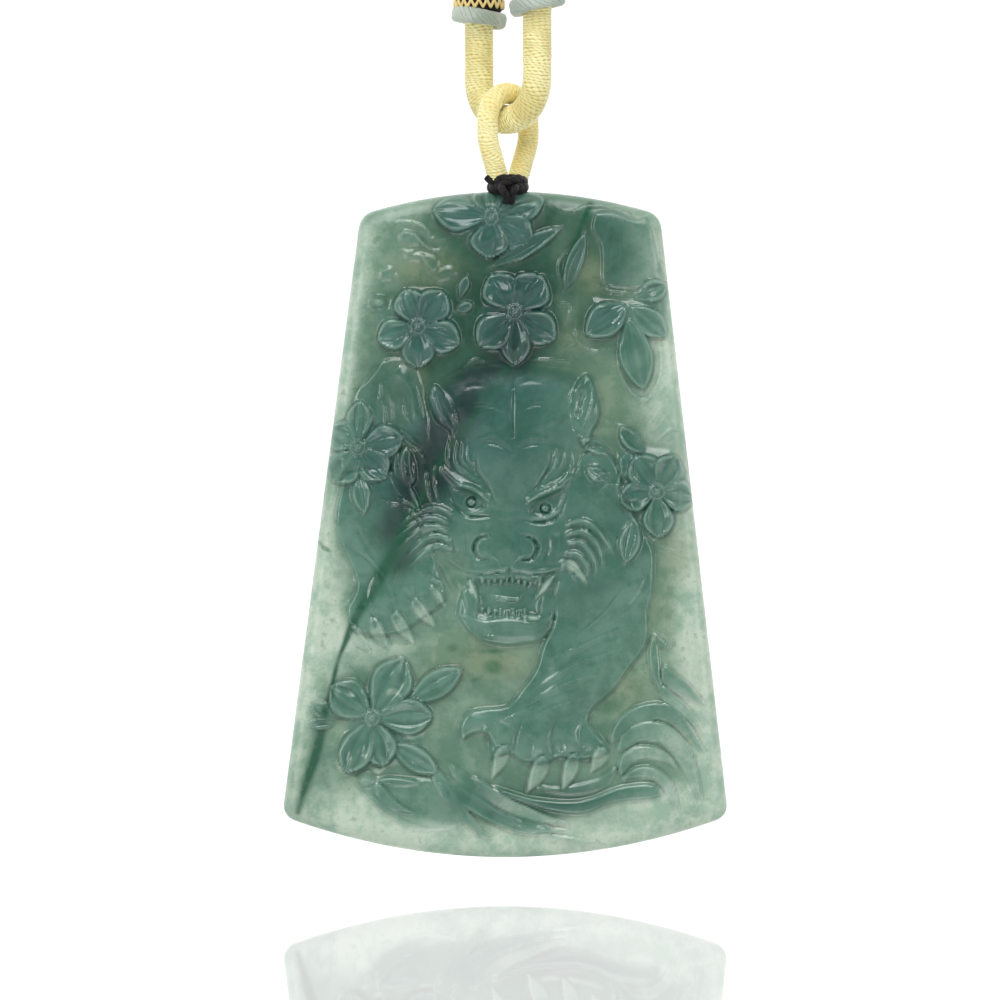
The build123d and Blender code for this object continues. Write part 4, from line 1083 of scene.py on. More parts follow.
# %% Fine cuts
# Height, width, route
STROKES = [
    # forehead stripes and furrow
    (-0.26, 0.55, [(0.5, 43.0), (0.4, 39.5), (0.5, 36.8)]),
    (-0.06, 0.45, [(-4.0, 42.2), (-3.1, 42.5), (-2.0, 42.4)]),
    (-0.06, 0.45, [(0.9, 42.6), (1.9, 42.9), (3.0, 42.8)]),
    (-0.1, 0.45, [(-3.9, 40.3), (-2.8, 40.8), (-1.4, 40.6), (0.2, 40.0)]),
    (-0.1, 0.45, [(0.9, 40.2), (2.6, 40.8), (4.2, 40.3)]),
    (-0.2, 0.5, [(-2.8, 37.1), (-1.3, 37.3), (0.4, 36.5)]),
    (-0.2, 0.5, [(0.8, 36.8), (2.2, 37.2), (3.5, 37.2)]),
    (0.14, 0.6, [(-2.9, 37.6), (-1.2, 37.9), (0.2, 37.1)]),
    (0.14, 0.6, [(1.0, 37.4), (2.3, 37.8), (3.6, 37.7)]),
    (-0.35, 0.8, [(-2.9, 36.4), (-2.8, 34.8), (-1.9, 33.5), (-1.2, 32.0)]),
    (-0.35, 0.8, [(3.9, 36.6), (3.7, 35.2), (2.6, 33.6), (1.4, 32.4)]),
    (0.3, 0.4, [(3.6, 35.4), (3.0, 34.4), (1.9, 32.8)]),
    # fur beside the forehead
    (0.3, 0.45, [(-4.4, 38.0), (-4.6, 35.6), (-3.4, 34.3), (-2.2, 33.9)]),
    (0.3, 0.45, [(-4.0, 37.8), (-4.1, 36.0), (-3.2, 34.8)]),
    (0.3, 0.45, [(-3.5, 37.2), (-3.6, 36.0), (-2.9, 35.0)]),
    (0.3, 0.45, [(4.3, 37.0), (4.2, 35.4), (3.4, 34.2)]),
    (0.3, 0.45, [(4.9, 37.0), (4.9, 35.6), (4.2, 34.6)]),
    (0.3, 0.5, [(5.6, 36.8), (5.6, 35.2), (4.9, 34.0), (3.9, 33.6)]),
    (0.3, 0.5, [(-5.0, 38.6), (-5.4, 36.0), (-4.6, 34.2)]),
    # lids
    (0.5, 0.6, [(-4.9, 33.6), (-4.2, 33.5), (-3.0, 33.1), (-1.5, 31.9)]),
    (0.5, 0.6, [(1.4, 31.8), (3.1, 32.75), (5.1, 33.5)]),
    (-0.5, 0.7, [(-5.3, 33.4), (-4.8, 31.8), (-3.6, 30.8), (-1.4, 30.7)]),
    (-0.5, 0.7, [(1.3, 30.4), (3.0, 30.2), (4.5, 30.8), (5.4, 32.8)]),
    # nose
    (-0.15, 0.45, [(-1.6, 31.5), (0.1, 31.1), (1.4, 31.4)]),
    (-0.15, 0.45, [(-1.3, 30.5), (0.1, 30.2), (1.7, 30.6)]),
    (-0.6, 0.65, [(-1.45, 29.0), (-2.6, 28.8), (-3.1, 27.9), (-2.7, 27.0), (-1.7, 26.8)]),
    (-0.6, 0.65, [(1.2, 29.0), (2.2, 28.7), (2.65, 27.8), (2.1, 26.9), (1.2, 26.8)]),
    (0.28, 0.4, [(-1.8, 27.5), (-1.1, 26.9), (-0.6, 26.3)]),
    (0.28, 0.4, [(1.7, 27.4), (0.8, 26.8), (0.3, 26.2)]),
    (-0.25, 0.4, [(0.1, 26.4), (0.1, 25.7)]),
    # folds of the cheeks
    (-0.22, 0.5, [(-5.0, 29.4), (-4.8, 27.6), (-3.9, 26.2)]),
    (-0.22, 0.5, [(-3.9, 29.4), (-3.8, 27.9)]),
    (-0.22, 0.5, [(3.6, 29.2), (3.6, 27.6), (2.9, 26.6)]),
    (-0.22, 0.5, [(4.9, 29.2), (4.8, 27.4)]),
    # lips and the roof of the mouth
    (-0.25, 0.35, [(-4.2, 25.8), (-2.8, 25.5), (-1.3, 25.55), (0.1, 25.75)]),
    (-0.25, 0.35, [(0.1, 25.75), (1.7, 25.5), (3.4, 25.5), (4.7, 25.8), (6.0, 25.5)]),
    (0.4, 0.5, [(-1.8, 24.0), (-1.2, 23.45), (0.8, 23.2), (1.3, 23.9)]),
    (0.25, 0.5, [(-4.6, 25.4), (-3.8, 23.4), (-3.6, 21.8)]),
    (0.25, 0.5, [(5.0, 25.2), (4.2, 23.6), (4.1, 22.2)]),
    # loose hair beside the far cheek
    (0.35, 0.5, [(-9.6, 31.6), (-8.4, 31.0), (-7.6, 30.0)]),
    (0.35, 0.5, [(-10.2, 32.4), (-8.9, 31.9), (-8.2, 30.8)]),
    (0.35, 0.5, [(-9.0, 33.8), (-8.4, 32.4), (-7.9, 31.2)]),
    (0.3, 0.5, [(-7.4, 35.4), (-7.2, 33.4), (-6.6, 31.4)]),
    (0.3, 0.5, [(-6.6, 35.6), (-6.5, 33.6), (-6.1, 31.8)]),
    # strokes of fur on the leg
    (0.17, 0.32, [(10.6, 24.8), (8.8, 22.2), (5.9, 19.6)]),
    (-0.12, 0.4, [(10.2, 24.4), (8.4, 22.0), (5.6, 19.9)]),
    (0.17, 0.32, [(12.2, 21.2), (8.8, 20.1), (3.6, 17.6)]),
    (-0.12, 0.4, [(12.0, 20.7), (8.8, 19.6), (3.7, 17.1)]),
    (0.17, 0.32, [(10.6, 18.8), (6.0, 17.4), (1.4, 14.4)]),
    (-0.14, 0.4, [(10.4, 18.4), (6.0, 16.9), (1.8, 14.2)]),
    (0.17, 0.32, [(9.8, 16.6), (5.6, 15.9), (0.8, 13.2)]),
    (-0.14, 0.4, [(8.6, 15.6), (4.8, 14.9), (-0.6, 12.6)]),
    (0.17, 0.32, [(7.2, 14.4), (4.4, 13.7), (1.2, 12.2)]),
    (-0.12, 0.4, [(12.6, 25.6), (11.6, 23.4), (9.2, 21.4)]),
    (0.14, 0.4, [(8.4, 13.4), (6.8, 12.4), (6.5, 10.8)]),
    # between the toes
    (-0.25, 0.6, [(1.4, 12.8), (0.7, 10.8), (0.5, 8.8)]),
    (-0.25, 0.6, [(4.6, 12.9), (3.9, 11.0), (4.1, 8.8)]),
    (-0.25, 0.6, [(6.9, 12.9), (6.5, 11.0), (6.9, 9.2)]),
    (-0.2, 0.6, [(-2.2, 12.0), (-2.0, 11.0), (-0.9, 9.4)]),
    (-0.12, 0.6, [(-1.6, 9.6), (-0.4, 9.3), (0.6, 9.8)]),
    (-0.12, 0.6, [(1.6, 9.0), (2.8, 8.6), (3.8, 9.2)]),
    (-0.12, 0.6, [(4.6, 9.3), (5.6, 8.9), (6.6, 9.5)]),
    # far paw and shoulder
    (-0.3, 0.45, [(-9.4, 24.2), (-8.2, 22.8), (-6.9, 21.2)]),
    (-0.3, 0.45, [(-12.6, 22.4), (-12.0, 21.4), (-11.8, 20.2)]),
    (-0.3, 0.45, [(-10.4, 22.4), (-10.0, 21.2), (-9.6, 20.2)]),
    (-0.22, 0.5, [(-14.6, 28.2), (-12.4, 26.6), (-10.8, 24.6)]),
    (-0.22, 0.5, [(-13.8, 30.2), (-12.8, 28.0), (-11.8, 27.0)]),
    (0.2, 0.4, [(-13.2, 27.8), (-12.0, 26.4), (-11.2, 25.4)]),
    (0.25, 0.4, [(-8.8, 26.2), (-7.0, 25.2), (-5.6, 24.6), (-5.1, 23.4)]),
    (0.25, 0.4, [(-6.6, 27.0), (-5.6, 25.8), (-5.0, 24.4)]),
    # rocks, twigs and cloud on the ground
    (0.3, 0.45, [(-12.9, 42.4), (-11.8, 43.7), (-11.2, 44.8)]),
    (0.3, 0.4, [(-11.5, 43.0), (-11.4, 42.0), (-11.8, 40.9)]),
    (0.3, 0.4, [(-10.9, 42.2), (-10.4, 40.8), (-10.3, 39.0)]),
    (0.3, 0.4, [(-11.6, 41.6), (-11.0, 40.2), (-11.2, 38.6)]),
    (0.3, 0.4, [(-12.6, 41.0), (-12.2, 39.8), (-12.4, 38.8)]),
    (0.4, 0.5, [(-10.6, 39.1), (-9.3, 37.6), (-8.2, 36.8), (-7.4, 35.6)]),
    (0.25, 0.45, [(-10.0, 38.6), (-8.6, 37.6), (-7.4, 36.6)]),
    (-0.3, 0.45, [(-9.6, 37.0), (-9.9, 35.6), (-9.5, 34.0)]),
    (-0.3, 0.45, [(-9.1, 37.0), (-9.2, 35.6), (-8.9, 33.8)]),
    (-0.3, 0.45, [(-8.7, 36.6), (-8.6, 35.4), (-8.5, 34.2)]),
    (0.25, 0.4, [(-10.7, 34.2), (-9.8, 32.8), (-8.6, 32.0)]),
    (0.25, 0.4, [(-11.6, 32.4), (-10.2, 31.8), (-8.8, 32.2)]),
    (0.3, 0.45, [(-9.4, 41.6), (-9.2, 39.8), (-8.4, 38.6)]),
    (0.22, 0.4, [(-8.4, 42.6), (-8.0, 40.8), (-7.6, 39.4)]),
    # folds inside the ears
    (0.35, 0.5, [(-6.1, 42.1), (-5.4, 41.3), (-4.9, 40.2), (-4.6, 39.0)]),
    (0.2, 0.4, [(-6.6, 41.6), (-6.3, 40.4), (-5.6, 39.3)]),
    (0.35, 0.5, [(7.2, 43.2), (7.6, 41.8), (7.4, 40.2), (6.6, 38.6)]),
    (0.25, 0.4, [(5.8, 42.2), (5.5, 40.9), (5.8, 39.4)]),
    (0.3, 0.4, [(6.5, 41.5), (6.8, 41.0), (6.5, 40.4), (6.1, 40.7)]),
    (0.35, 0.45, [(-10.7, 57.2), (-8.5, 57.1), (-7.3, 56.5), (-7.0, 55.8), (-5.7, 55.7)]),
    (0.35, 0.45, [(-10.1, 55.8), (-9.4, 56.3), (-8.3, 56.0), (-7.7, 55.3), (-6.6, 54.6), (-5.5, 55.1)]),
    (0.3, 0.4, [(-9.9, 54.9), (-9.0, 54.5), (-8.1, 54.8)]),
    (0.22, 0.5, [(-8.1, 54.6), (-7.2, 53.4), (-6.6, 52.6), (-7.0, 51.6)]),
    (0.35, 0.45, [(3.9, 59.1), (4.7, 58.3), (5.9, 58.2), (7.4, 58.7), (9.7, 58.5), (11.5, 57.7), (13.0, 57.9)]),
    (0.3, 0.4, [(5.6, 55.0), (4.6, 53.6), (4.7, 51.6)]),
    (0.3, 0.4, [(6.7, 55.4), (5.6, 53.2), (5.3, 51.4)]),
    (0.3, 0.4, [(0.5, 53.3), (2.0, 54.4), (3.9, 55.9), (4.9, 56.8)]),
    (0.25, 0.4, [(4.4, 50.0), (5.6, 49.6), (5.2, 48.2)]),
    (0.25, 0.4, [(4.9, 47.4), (6.0, 46.4), (5.0, 45.8)]),
    (0.25, 0.4, [(-4.2, 44.0), (-3.0, 44.8), (-1.8, 44.6)]),
    (0.25, 0.4, [(2.2, 44.9), (3.9, 44.8), (5.5, 44.6)]),
    (0.12, 0.4, [(8.9, 57.4), (8.6, 55.2), (8.7, 52.8)]),
    (0.12, 0.4, [(9.5, 56.8), (9.3, 54.8), (9.2, 52.6)]),
    (0.1, 0.4, [(10.2, 57.2), (10.1, 55.0), (9.9, 53.2)]),
    (0.35, 0.45, [(8.0, 51.6), (9.4, 50.9), (11.0, 50.8), (11.6, 50.4)]),
    (0.25, 0.4, [(6.2, 48.8), (6.1, 46.8), (7.6, 45.6), (9.8, 46.0)]),
    (0.3, 0.4, [(10.0, 46.4), (10.0, 44.0), (11.2, 41.8), (12.5, 41.2), (13.6, 43.4), (13.6, 46.4)]),
    (0.25, 0.4, [(12.4, 38.7), (13.2, 39.8), (14.2, 41.4)]),
    (0.25, 0.4, [(13.2, 38.5), (14.0, 39.6), (15.0, 41.2)]),
    (0.2, 0.4, [(11.6, 39.0), (12.4, 40.2), (13.2, 41.6)]),
    (0.3, 0.4, [(8.7, 39.5), (10.9, 38.4), (12.0, 36.8)]),
    (0.3, 0.45, [(9.7, 37.2), (10.2, 35.2), (9.9, 33.0), (11.0, 30.8), (13.0, 28.8), (14.4, 28.0)]),
    (0.3, 0.4, [(6.5, 36.7), (8.4, 36.8), (9.6, 36.4)]),
    (0.3, 0.4, [(7.4, 33.9), (8.6, 34.6), (9.4, 34.4)]),
    (0.3, 0.4, [(8.2, 33.0), (9.0, 33.6), (10.0, 33.4)]),
    (0.3, 0.4, [(13.2, 28.3), (16.7, 26.8)]),
    (0.3, 0.4, [(12.9, 37.2), (14.8, 38.6), (16.0, 38.0)]),
    (-0.2, 0.4, [(-13.9, 20.6), (-13.0, 19.4), (-12.0, 18.4)]),
    (-0.2, 0.4, [(-14.6, 17.8), (-13.6, 16.6), (-13.2, 15.8)]),
]
# Rings round blossoms' eyes and pupils: height, width, radius, middle
RINGS = [
    (-0.34, 0.38, 0.42, (-3.3, 32.0)), (-0.34, 0.38, 0.42, (3.35, 31.45)),
    (-0.16, 0.36, 0.0, (-3.3, 32.0)), (-0.16, 0.36, 0.0, (3.35, 31.45)),
]
# Teeth of the upper and the lower row: x, height, half width
TEETH = [
    (-2.3, 24.9, 0.22), (-1.75, 24.75, 0.26), (-1.2, 24.9, 0.2), (-0.65, 24.85, 0.28), (-0.1, 25.0, 0.2),
    (0.4, 24.95, 0.26), (0.95, 24.85, 0.22), (1.5, 24.7, 0.28), (2.0, 24.6, 0.2), (-2.3, 22.3, 0.2),
    (-1.75, 22.15, 0.26), (-1.2, 22.0, 0.2), (-0.7, 22.1, 0.24), (-0.1, 21.95, 0.2), (0.45, 22.05, 0.26),
    (1.0, 21.95, 0.2), (1.5, 22.1, 0.24),
]
# How much of the depths above the fine cuts keep, so that they stay shallow and soft
CUT_SHARE = 0.75


def carving(x, up):
    """Height of the carving above the plain ground, how thick it is, and where blades get painted light."""
    ground = np.zeros(x.shape)
    for form in MASSES:
        ground = np.maximum(ground, mass(x, up, *form))
    thick = ground.copy()
    for form in DOMES:
        ground = ground + dome(x, up, *form)
    for form in HOLLOWS:
        ground = ground + mass(x, up, *form)
    raised, pale = np.zeros(x.shape), np.zeros(x.shape)
    for height, width, route in RIBBONS:
        raised = np.maximum(raised, stroke(x, up, height, width, route, 0.3))
    for form in LEAVES:
        raised = np.maximum(raised, petal(x, up, *form))
    for form in BLADES + FUR:
        raised = np.maximum(raised, blade(x, up, *form)[0])
    # Blades listed as pale give the mask for painted light through thin stone
    for form in PALE_BLADES:
        one, along = blade(x, up, *form)
        pale = np.maximum(pale, smooth(0, 0.5, one / form[0]) * (one >= raised) * smooth(0.1, 0.4, along))
        raised = np.maximum(raised, one)
    for height, centre, petals in BLOSSOMS:
        for width, tip in petals:
            raised = np.maximum(raised, petal(x, up, height, width, centre, tip, 0.6, 0.2, 0.13))
        raised = np.maximum(raised, dome(x, up, height * 0.8, 1.1, 1.1, centre))
        raised = raised + ring(x, up, 0.22, 0.4, 0.62, centre) + ring(x, up, 0.15, 0.34, 0.16, centre)
    thick = thick + raised
    for tooth_x, tooth_up, half in TEETH:
        raised = np.maximum(raised, dome(x, up, 0.45, half, 0.4, (tooth_x, tooth_up)))
    for form in RINGS:
        raised = raised + ring(x, up, *form)
    for height, width, route in STROKES:
        raised = raised + CUT_SHARE * stroke(x, up, height, width, route, 0.7)
    return np.maximum(ground, -0.3) + raised, thick, pale


def blurred(grid, reach):
    """A grid of heights, each averaged with its neighbours."""
    for axis in (0, 1):
        total = np.zeros(grid.shape)
        for step in range(-reach, reach + 1):
            total += np.roll(grid, step, axis=axis)
        grid = total / (2 * reach + 1)
    return grid


height_map, thickness, painted_blade_light = carving(sheet[..., 0], sheet[..., 1])
# Height minus its blur: below zero in grooves, above zero on ridges; the jade paints shade and highlight from it
cut_shade_and_ridge_light = height_map - blurred(blurred(height_map, 1), 1)
veins = np.zeros(height_map.shape)
for _, centre, petals in BLOSSOMS:
    for width, tip in petals:
        across = petal_veins(sheet[..., 0], sheet[..., 1], width, centre, tip, 0.6)
        veins = np.where(across != 0, across, veins)
for _, width, foot, tip, widest in LEAVES:
    across = petal_veins(sheet[..., 0], sheet[..., 1], width, foot, tip, widest)
    veins = np.where(across != 0, across, veins)
print("carving from", round(height_map.min(), 2), "to", round(height_map.max(), 2), "mm")

# %% [markdown]
# ## From sheet to solid stone
# The carved sheet bends over at its rim, and rings of points carry it round the edge to a
# flat, polished back. The back needs fewer points, so its sheet is four times coarser and a
# row of many-sided faces joins it on. The drilled hole is cut out at the end, as in the
# workshop.

# %% Stone mesh
BACK_Y, GROUND_Y, EDGE_FRONT_Y, EDGE_BACK_Y = 2.7, -1.5, -0.3, 1.5
RIM_WIDTH, BACK_RIM = 1.7, 1.1
COARSE = 4


def stone_mesh():
    """Points and faces of the undrilled stone, in millimetres."""
    closed = np.concatenate([plaque_edge, plaque_edge[:1]])[::2]
    share = np.ones(sheet.shape[:2])
    outer = np.ones(sheet.shape[:2], bool)
    outer[14:-14, 14:-14] = False
    share[outer] = np.clip(to_line(sheet[outer][:, 0], sheet[outer][:, 1], closed)[0] / RIM_WIDTH, 0, 1)
    share[0], share[-1], share[:, 0], share[:, -1] = 0, 0, 0, 0
    rim = np.sqrt(1 - (1 - share) ** 2)
    y = EDGE_FRONT_Y + (GROUND_Y - EDGE_FRONT_Y - height_map) * rim
    points = [np.stack([sheet[..., 0], y, sheet[..., 1]], axis=2).reshape(-1, 3)]
    faces = [list(f) for f in grid_faces(ROWS + 1, COLUMNS + 1)]
    number = np.arange((ROWS + 1) * (COLUMNS + 1)).reshape(ROWS + 1, COLUMNS + 1)
    previous = np.concatenate([number[0, :-1], number[:-1, -1], number[-1, :0:-1], number[:0:-1, 0]])
    count = len(plaque_edge)
    after = np.roll(plaque_edge, -3, axis=0) - np.roll(plaque_edge, 3, axis=0)
    inward = np.stack([-after[:, 1], after[:, 0]], axis=1)
    inward /= np.hypot(*inward.T)[:, None]
    first = points[0].shape[0]
    turns = np.radians([0, 22, 45, 68, 90])
    rings = [(BACK_RIM * (1 - np.cos(a)), EDGE_BACK_Y + (BACK_Y - EDGE_BACK_Y) * np.sin(a)) for a in turns]
    for inset, depth in rings:
        place_2d = plaque_edge + inset * inward
        points.append(np.stack([place_2d[:, 0], np.full(count, depth), place_2d[:, 1]], axis=1))
        now = np.arange(first, first + count)
        faces += np.stack([np.roll(previous, -1), previous, now, np.roll(now, -1)], axis=1).tolist()
        previous, first = now, first + count
    inner_edge = (plaque_edge + (BACK_RIM + 0.5) * inward)[::COARSE]
    back = woven_sheet(inner_edge, COLUMNS // COARSE, ROWS // COARSE)
    rows, columns = back.shape[:2]
    points.append(np.stack([back[..., 0], np.full((rows, columns), BACK_Y), back[..., 1]], axis=2).reshape(-1, 3))
    faces += grid_faces(rows, columns, first=first)[:, ::-1].tolist()
    number = np.arange(rows * columns).reshape(rows, columns) + first
    inner = np.concatenate([number[0, :-1], number[:-1, -1], number[-1, :0:-1], number[:0:-1, 0]])
    for k in range(len(inner)):
        fine = [int(previous[(k * COARSE + j) % count]) for j in range(COARSE + 1)]
        faces.append(fine[::-1] + [int(inner[k]), int(inner[(k + 1) % len(inner)])])
    return np.concatenate(points), faces


stone_points, stone_faces = stone_mesh()
print("stone", len(stone_points), "points", len(stone_faces), "faces")

# %% Drill the hole
def mesh_object(name, points, faces):
    """A mesh object that is only used as a tool."""
    mesh = bpy.data.meshes.new(name)
    mesh.from_pydata(np.asarray(points).tolist(), [], faces)
    mesh.update()
    thing = bpy.data.objects.new(name, mesh)
    bpy.context.scene.collection.objects.link(thing)
    return thing


def in_frame(points):
    """Points of the frame, in metres, from millimetres with the height last."""
    return np.asarray(points) * MM + np.array([0, 0, BOTTOM_Z])


turn = np.linspace(0, 2 * np.pi, 36, endpoint=False)
drill_points = [(HOLE_RADIUS * np.cos(a), y, HOLE_UP + HOLE_RADIUS * np.sin(a)) for y in (-6, 6) for a in turn]
drill_faces = [[k, (k + 1) % 36, 36 + (k + 1) % 36, 36 + k] for k in range(36)]
drill_faces += [list(range(36))[::-1], list(range(36, 72))]
stone = mesh_object("stone", in_frame(stone_points), stone_faces)
# Highest in the valleys between a petal's folds, where the jade paints shade
folds = np.where(veins == 0, 0, 0.5 - 0.5 * np.cos(3 * np.pi * veins))
face_numbers = {"thickness": thickness / 1.4, "petal_fold_shade": folds, "cut": cut_shade_and_ridge_light / 0.09,
                "petal_veins": veins, "painted_blade_light": painted_blade_light}
for key, grid in face_numbers.items():
    values = np.zeros(len(stone_points), np.float32)
    values[:grid.size] = grid.ravel()
    stone.data.attributes.new(key, "FLOAT", "POINT").data.foreach_set("value", values)
drill = mesh_object("drill", in_frame(drill_points), drill_faces)
cut = stone.modifiers.new("hole", "BOOLEAN")
cut.object = drill
cut.operation = "DIFFERENCE"
cut.solver = "EXACT"
carved = bpy.data.meshes.new_from_object(stone.evaluated_get(bpy.context.evaluated_depsgraph_get()))
for tool in (stone, drill):
    bpy.data.objects.remove(tool)
kept = [a.name for a in carved.attributes if a.name in face_numbers]
print("drilled stone", len(carved.vertices), "points, with", ", ".join(kept))

# %% [markdown]
# ## What colours jade
# Good jade isn't one green. Here the thin ground is a pale grey-green, and the carved forms
# look deeper and bluer because more stone lies behind them, so the height of the carving
# drives the colour. This is partly the stone's own colour and partly painted backlight: the
# thin ground is painted paler, as if lit from behind. A dark green vein runs aslant through
# the whole slab, smoky blue clouds lie round the middle, and warmer olive patches sit in the
# ground. All of these are numbers kept on the points of the mesh.

# %% Clouds and vein as numbers on the mesh
# x, height, half width of the vein, strength
VEIN = [
    (7.4, 58.8, 0.35, 0.9), (5.8, 55.0, 0.3, 0.7), (4.1, 51.0, 0.3, 0.35), (-0.7, 43.0, 0.5, 0.5),
    (-3.4, 39.4, 0.6, 0.55), (-7.0, 34.0, 0.8, 0.6), (-10.6, 26.8, 0.85, 0.9), (-11.8, 24.8, 0.75, 1.0),
    (-13.6, 21.8, 0.5, 1.0), (-14.8, 19.0, 0.26, 0.9), (-15.4, 17.4, 0.24, 0.9), (-16.0, 14.5, 0.3, 1.0),
    (-16.4, 13.4, 0.45, 1.0), (-17.1, 10.0, 0.6, 1.0), (-18.2, 6.6, 0.55, 1.0), (-18.9, 4.1, 0.35, 0.8),
]
# Soft patches: x, height, half width, half height, turn in degrees, strength
DEEP_PATCHES = [
    (-2.0, 48.0, 9.0, 9.0, 0, 1.0), (-8.3, 36.0, 6.0, 8.2, -20, 0.9), (2.0, 36.0, 7.5, 8.0, 0, 0.42),
    (4.0, 25.0, 8.0, 8.0, 0, 0.5), (4.0, 12.5, 8.0, 6.0, 0, 0.3), (2.0, 5.0, 8.0, 2.2, 0, 0.6),
    (9.0, 52.0, 5.0, 7.0, 0, 0.55), (-12.0, 12.5, 4.5, 5.0, 0, 0.3), (-11.0, 25.0, 4.0, 4.0, 0, 0.15), (-10.4, 41.0, 3.0, 4.5, 0, 0.25),
    (12.0, 34.0, 5.0, 7.0, 0, 0.45), (3.0, 57.0, 6.0, 3.0, 0, 0.6), (1.5, 52.5, 4.0, 3.0, 0, 0.6), (-4.0, 57.0, 4.0, 3.0, 0, 0.5),
]
DARK_PATCHES = [
    (-8.0, 33.6, 4.0, 3.6, 0, 0.25), (2.0, 52.2, 3.0, 2.0, 0, 0.3),
    (-7.4, 34.8, 2.2, 5.2, -25, 1.0), (-10.2, 29.8, 2.6, 1.8, 40, 0.55), (-7.0, 34.0, 1.3, 1.5, 0, 0.5), (-2.8, 43.6, 3.8, 1.4, 25, 0.6),
    (-3.6, 40.6, 1.4, 2.6, -20, 0.7), (0.6, 49.1, 3.0, 2.8, 0, 0.55), (0.6, 45.2, 2.2, 2.2, 0, 0.6),
    (-9.4, 26.6, 1.8, 1.2, 55, 0.6), (8.6, 24.6, 3.0, 1.2, 10, 0.3), (8.6, 14.4, 1.5, 2.6, -10, 0.25),
    (6.0, 55.2, 1.2, 2.4, -25, 0.4), (-8.1, 47.8, 2.4, 2.4, 0, 0.3), (-6.4, 38.2, 1.4, 2.6, -10, 0.5),
]
OLIVE_PATCHES = [
    (-7.2, 53.0, 3.4, 2.0, 0, 0.75), (-9.6, 41.8, 2.0, 3.4, -10, 1.0), (-3.6, 18.2, 4.6, 2.6, 15, 0.6),
    (-0.2, 17.4, 2.4, 1.4, 0, 0.6), (13.6, 22.0, 1.6, 3.6, 0, 0.5), (10.6, 15.4, 2.6, 2.4, 0, 0.6),
    (7.4, 52.4, 1.8, 2.4, 0, 0.6), (15.2, 27.4, 1.8, 3.4, 0, 0.5), (-9.2, 35.4, 1.2, 1.8, 0, 0.9),
    (5.6, 46.6, 1.8, 2.6, 0, 0.4), (9.4, 41.6, 2.0, 3.4, 0, 0.4), (-6.0, 4.6, 3.0, 1.4, 0, 0.3),
]
# Green spots in the ground, as small clear patches
MOSS_PATCHES = [
    (-5.0, 18.9, 0.8, 0.6, 10, 0.8), (-1.4, 17.2, 1.0, 0.8, 0, 0.8), (-1.2, 18.6, 1.6, 0.3, 0, 0.7),
    (-3.0, 16.0, 0.9, 0.4, 20, 0.5), (9.2, 13.6, 1.6, 1.0, 20, 0.8), (11.2, 17.0, 0.9, 0.6, -20, 0.5),
    (13.4, 25.4, 0.9, 0.8, 0, 0.45), (14.4, 21.6, 0.8, 1.4, 10, 0.35), (3.6, 4.9, 2.6, 0.7, -4, 0.7),
    (0.6, 5.7, 2.2, 0.7, -10, 0.6), (-3.2, 4.7, 2.6, 0.7, -35, 0.6), (-9.4, 6.6, 2.0, 0.4, 0, 0.6),
    (-9.6, 39.8, 0.9, 2.4, -10, 0.5), (-15.6, 6.0, 1.0, 0.5, 0, 0.35), (-10.6, 50.6, 2.4, 0.5, 0, 0.4),
    (-17.6, 28.6, 0.9, 0.22, -20, 0.9), (-16.4, 27.8, 0.6, 0.25, -30, 0.9), (-17.9, 26.4, 0.35, 0.9, 0, 0.35),
]
PALE_PATCHES = [
    (-17.4, 24.6, 2.6, 7.0, -8, 0.62), (-18.6, 14.0, 1.8, 7.0, -10, 0.6), (-13.2, 54.0, 1.8, 4.0, -8, 0.45),
    (-11.0, 2.8, 7.0, 2.6, -12, 1.0), (4.0, 1.6, 10.0, 1.6, 4, 1.0), (12.5, 4.2, 6.0, 2.2, 12, 1.0),
    (18.0, 9.0, 2.2, 8.5, 10, 1.0), (15.0, 40.0, 2.0, 9.0, 8, 0.9), (-15.8, 38.0, 1.1, 8.0, -8, 0.6),
    (-11.6, 19.0, 3.4, 2.0, 0, 0.5), (-8.0, 6.0, 5.0, 3.0, -20, 0.45), (16.8, 22.0, 2.2, 6.0, 6, 0.7), (16.6, 30.6, 1.8, 5.0, 6, 0.8), (-14.6, 46.0, 1.2, 6.0, -8, 0.7),
    (13.0, 52.0, 2.4, 7.0, 8, 0.6), (13.6, 40.0, 2.4, 8.0, 8, 0.45), (-15.8, 20.0, 1.8, 4.0, 0, 0.5),
]

# The thick green part of the slab, with a clear border against its thin pale rim, partly the stone's colour and
# partly painted backlight: step, swell, width, outline
GREEN_AREAS = [
    (0.55, 0.3, 2.0, [
        (-12.6, 47.0), (-12.9, 45.6), (-12.3, 44.4), (-13.8, 42.4), (-14.4, 40.6), (-14.4, 38.0), (-15.2, 33.6),
        (-15.7, 31.3), (-15.7, 28.6), (-15.2, 27.1), (-13.7, 25.2), (-14.2, 23.6), (-14.6, 21.4), (-12.6, 19.6),
        (-9.6, 19.0), (-6.4, 20.4), (-4.4, 24.0), (-4.0, 34.0), (-6.0, 44.0), (-9.0, 48.4)]),
    (0.5, 0.2, 1.2, [
        (-14.4, 8.4), (-13.3, 6.0), (-11.9, 4.9), (-10.2, 4.0), (-7.6, 3.2), (-3.5, 2.8), (0.8, 3.0), (5.1, 3.6),
        (8.8, 4.7), (11.6, 5.3), (13.4, 5.0), (14.0, 7.2), (13.4, 9.4), (12.6, 11.6), (9.0, 12.8), (5.0, 12.0),
        (-2.0, 11.0), (-6.0, 11.0), (-10.0, 9.6)]),
]


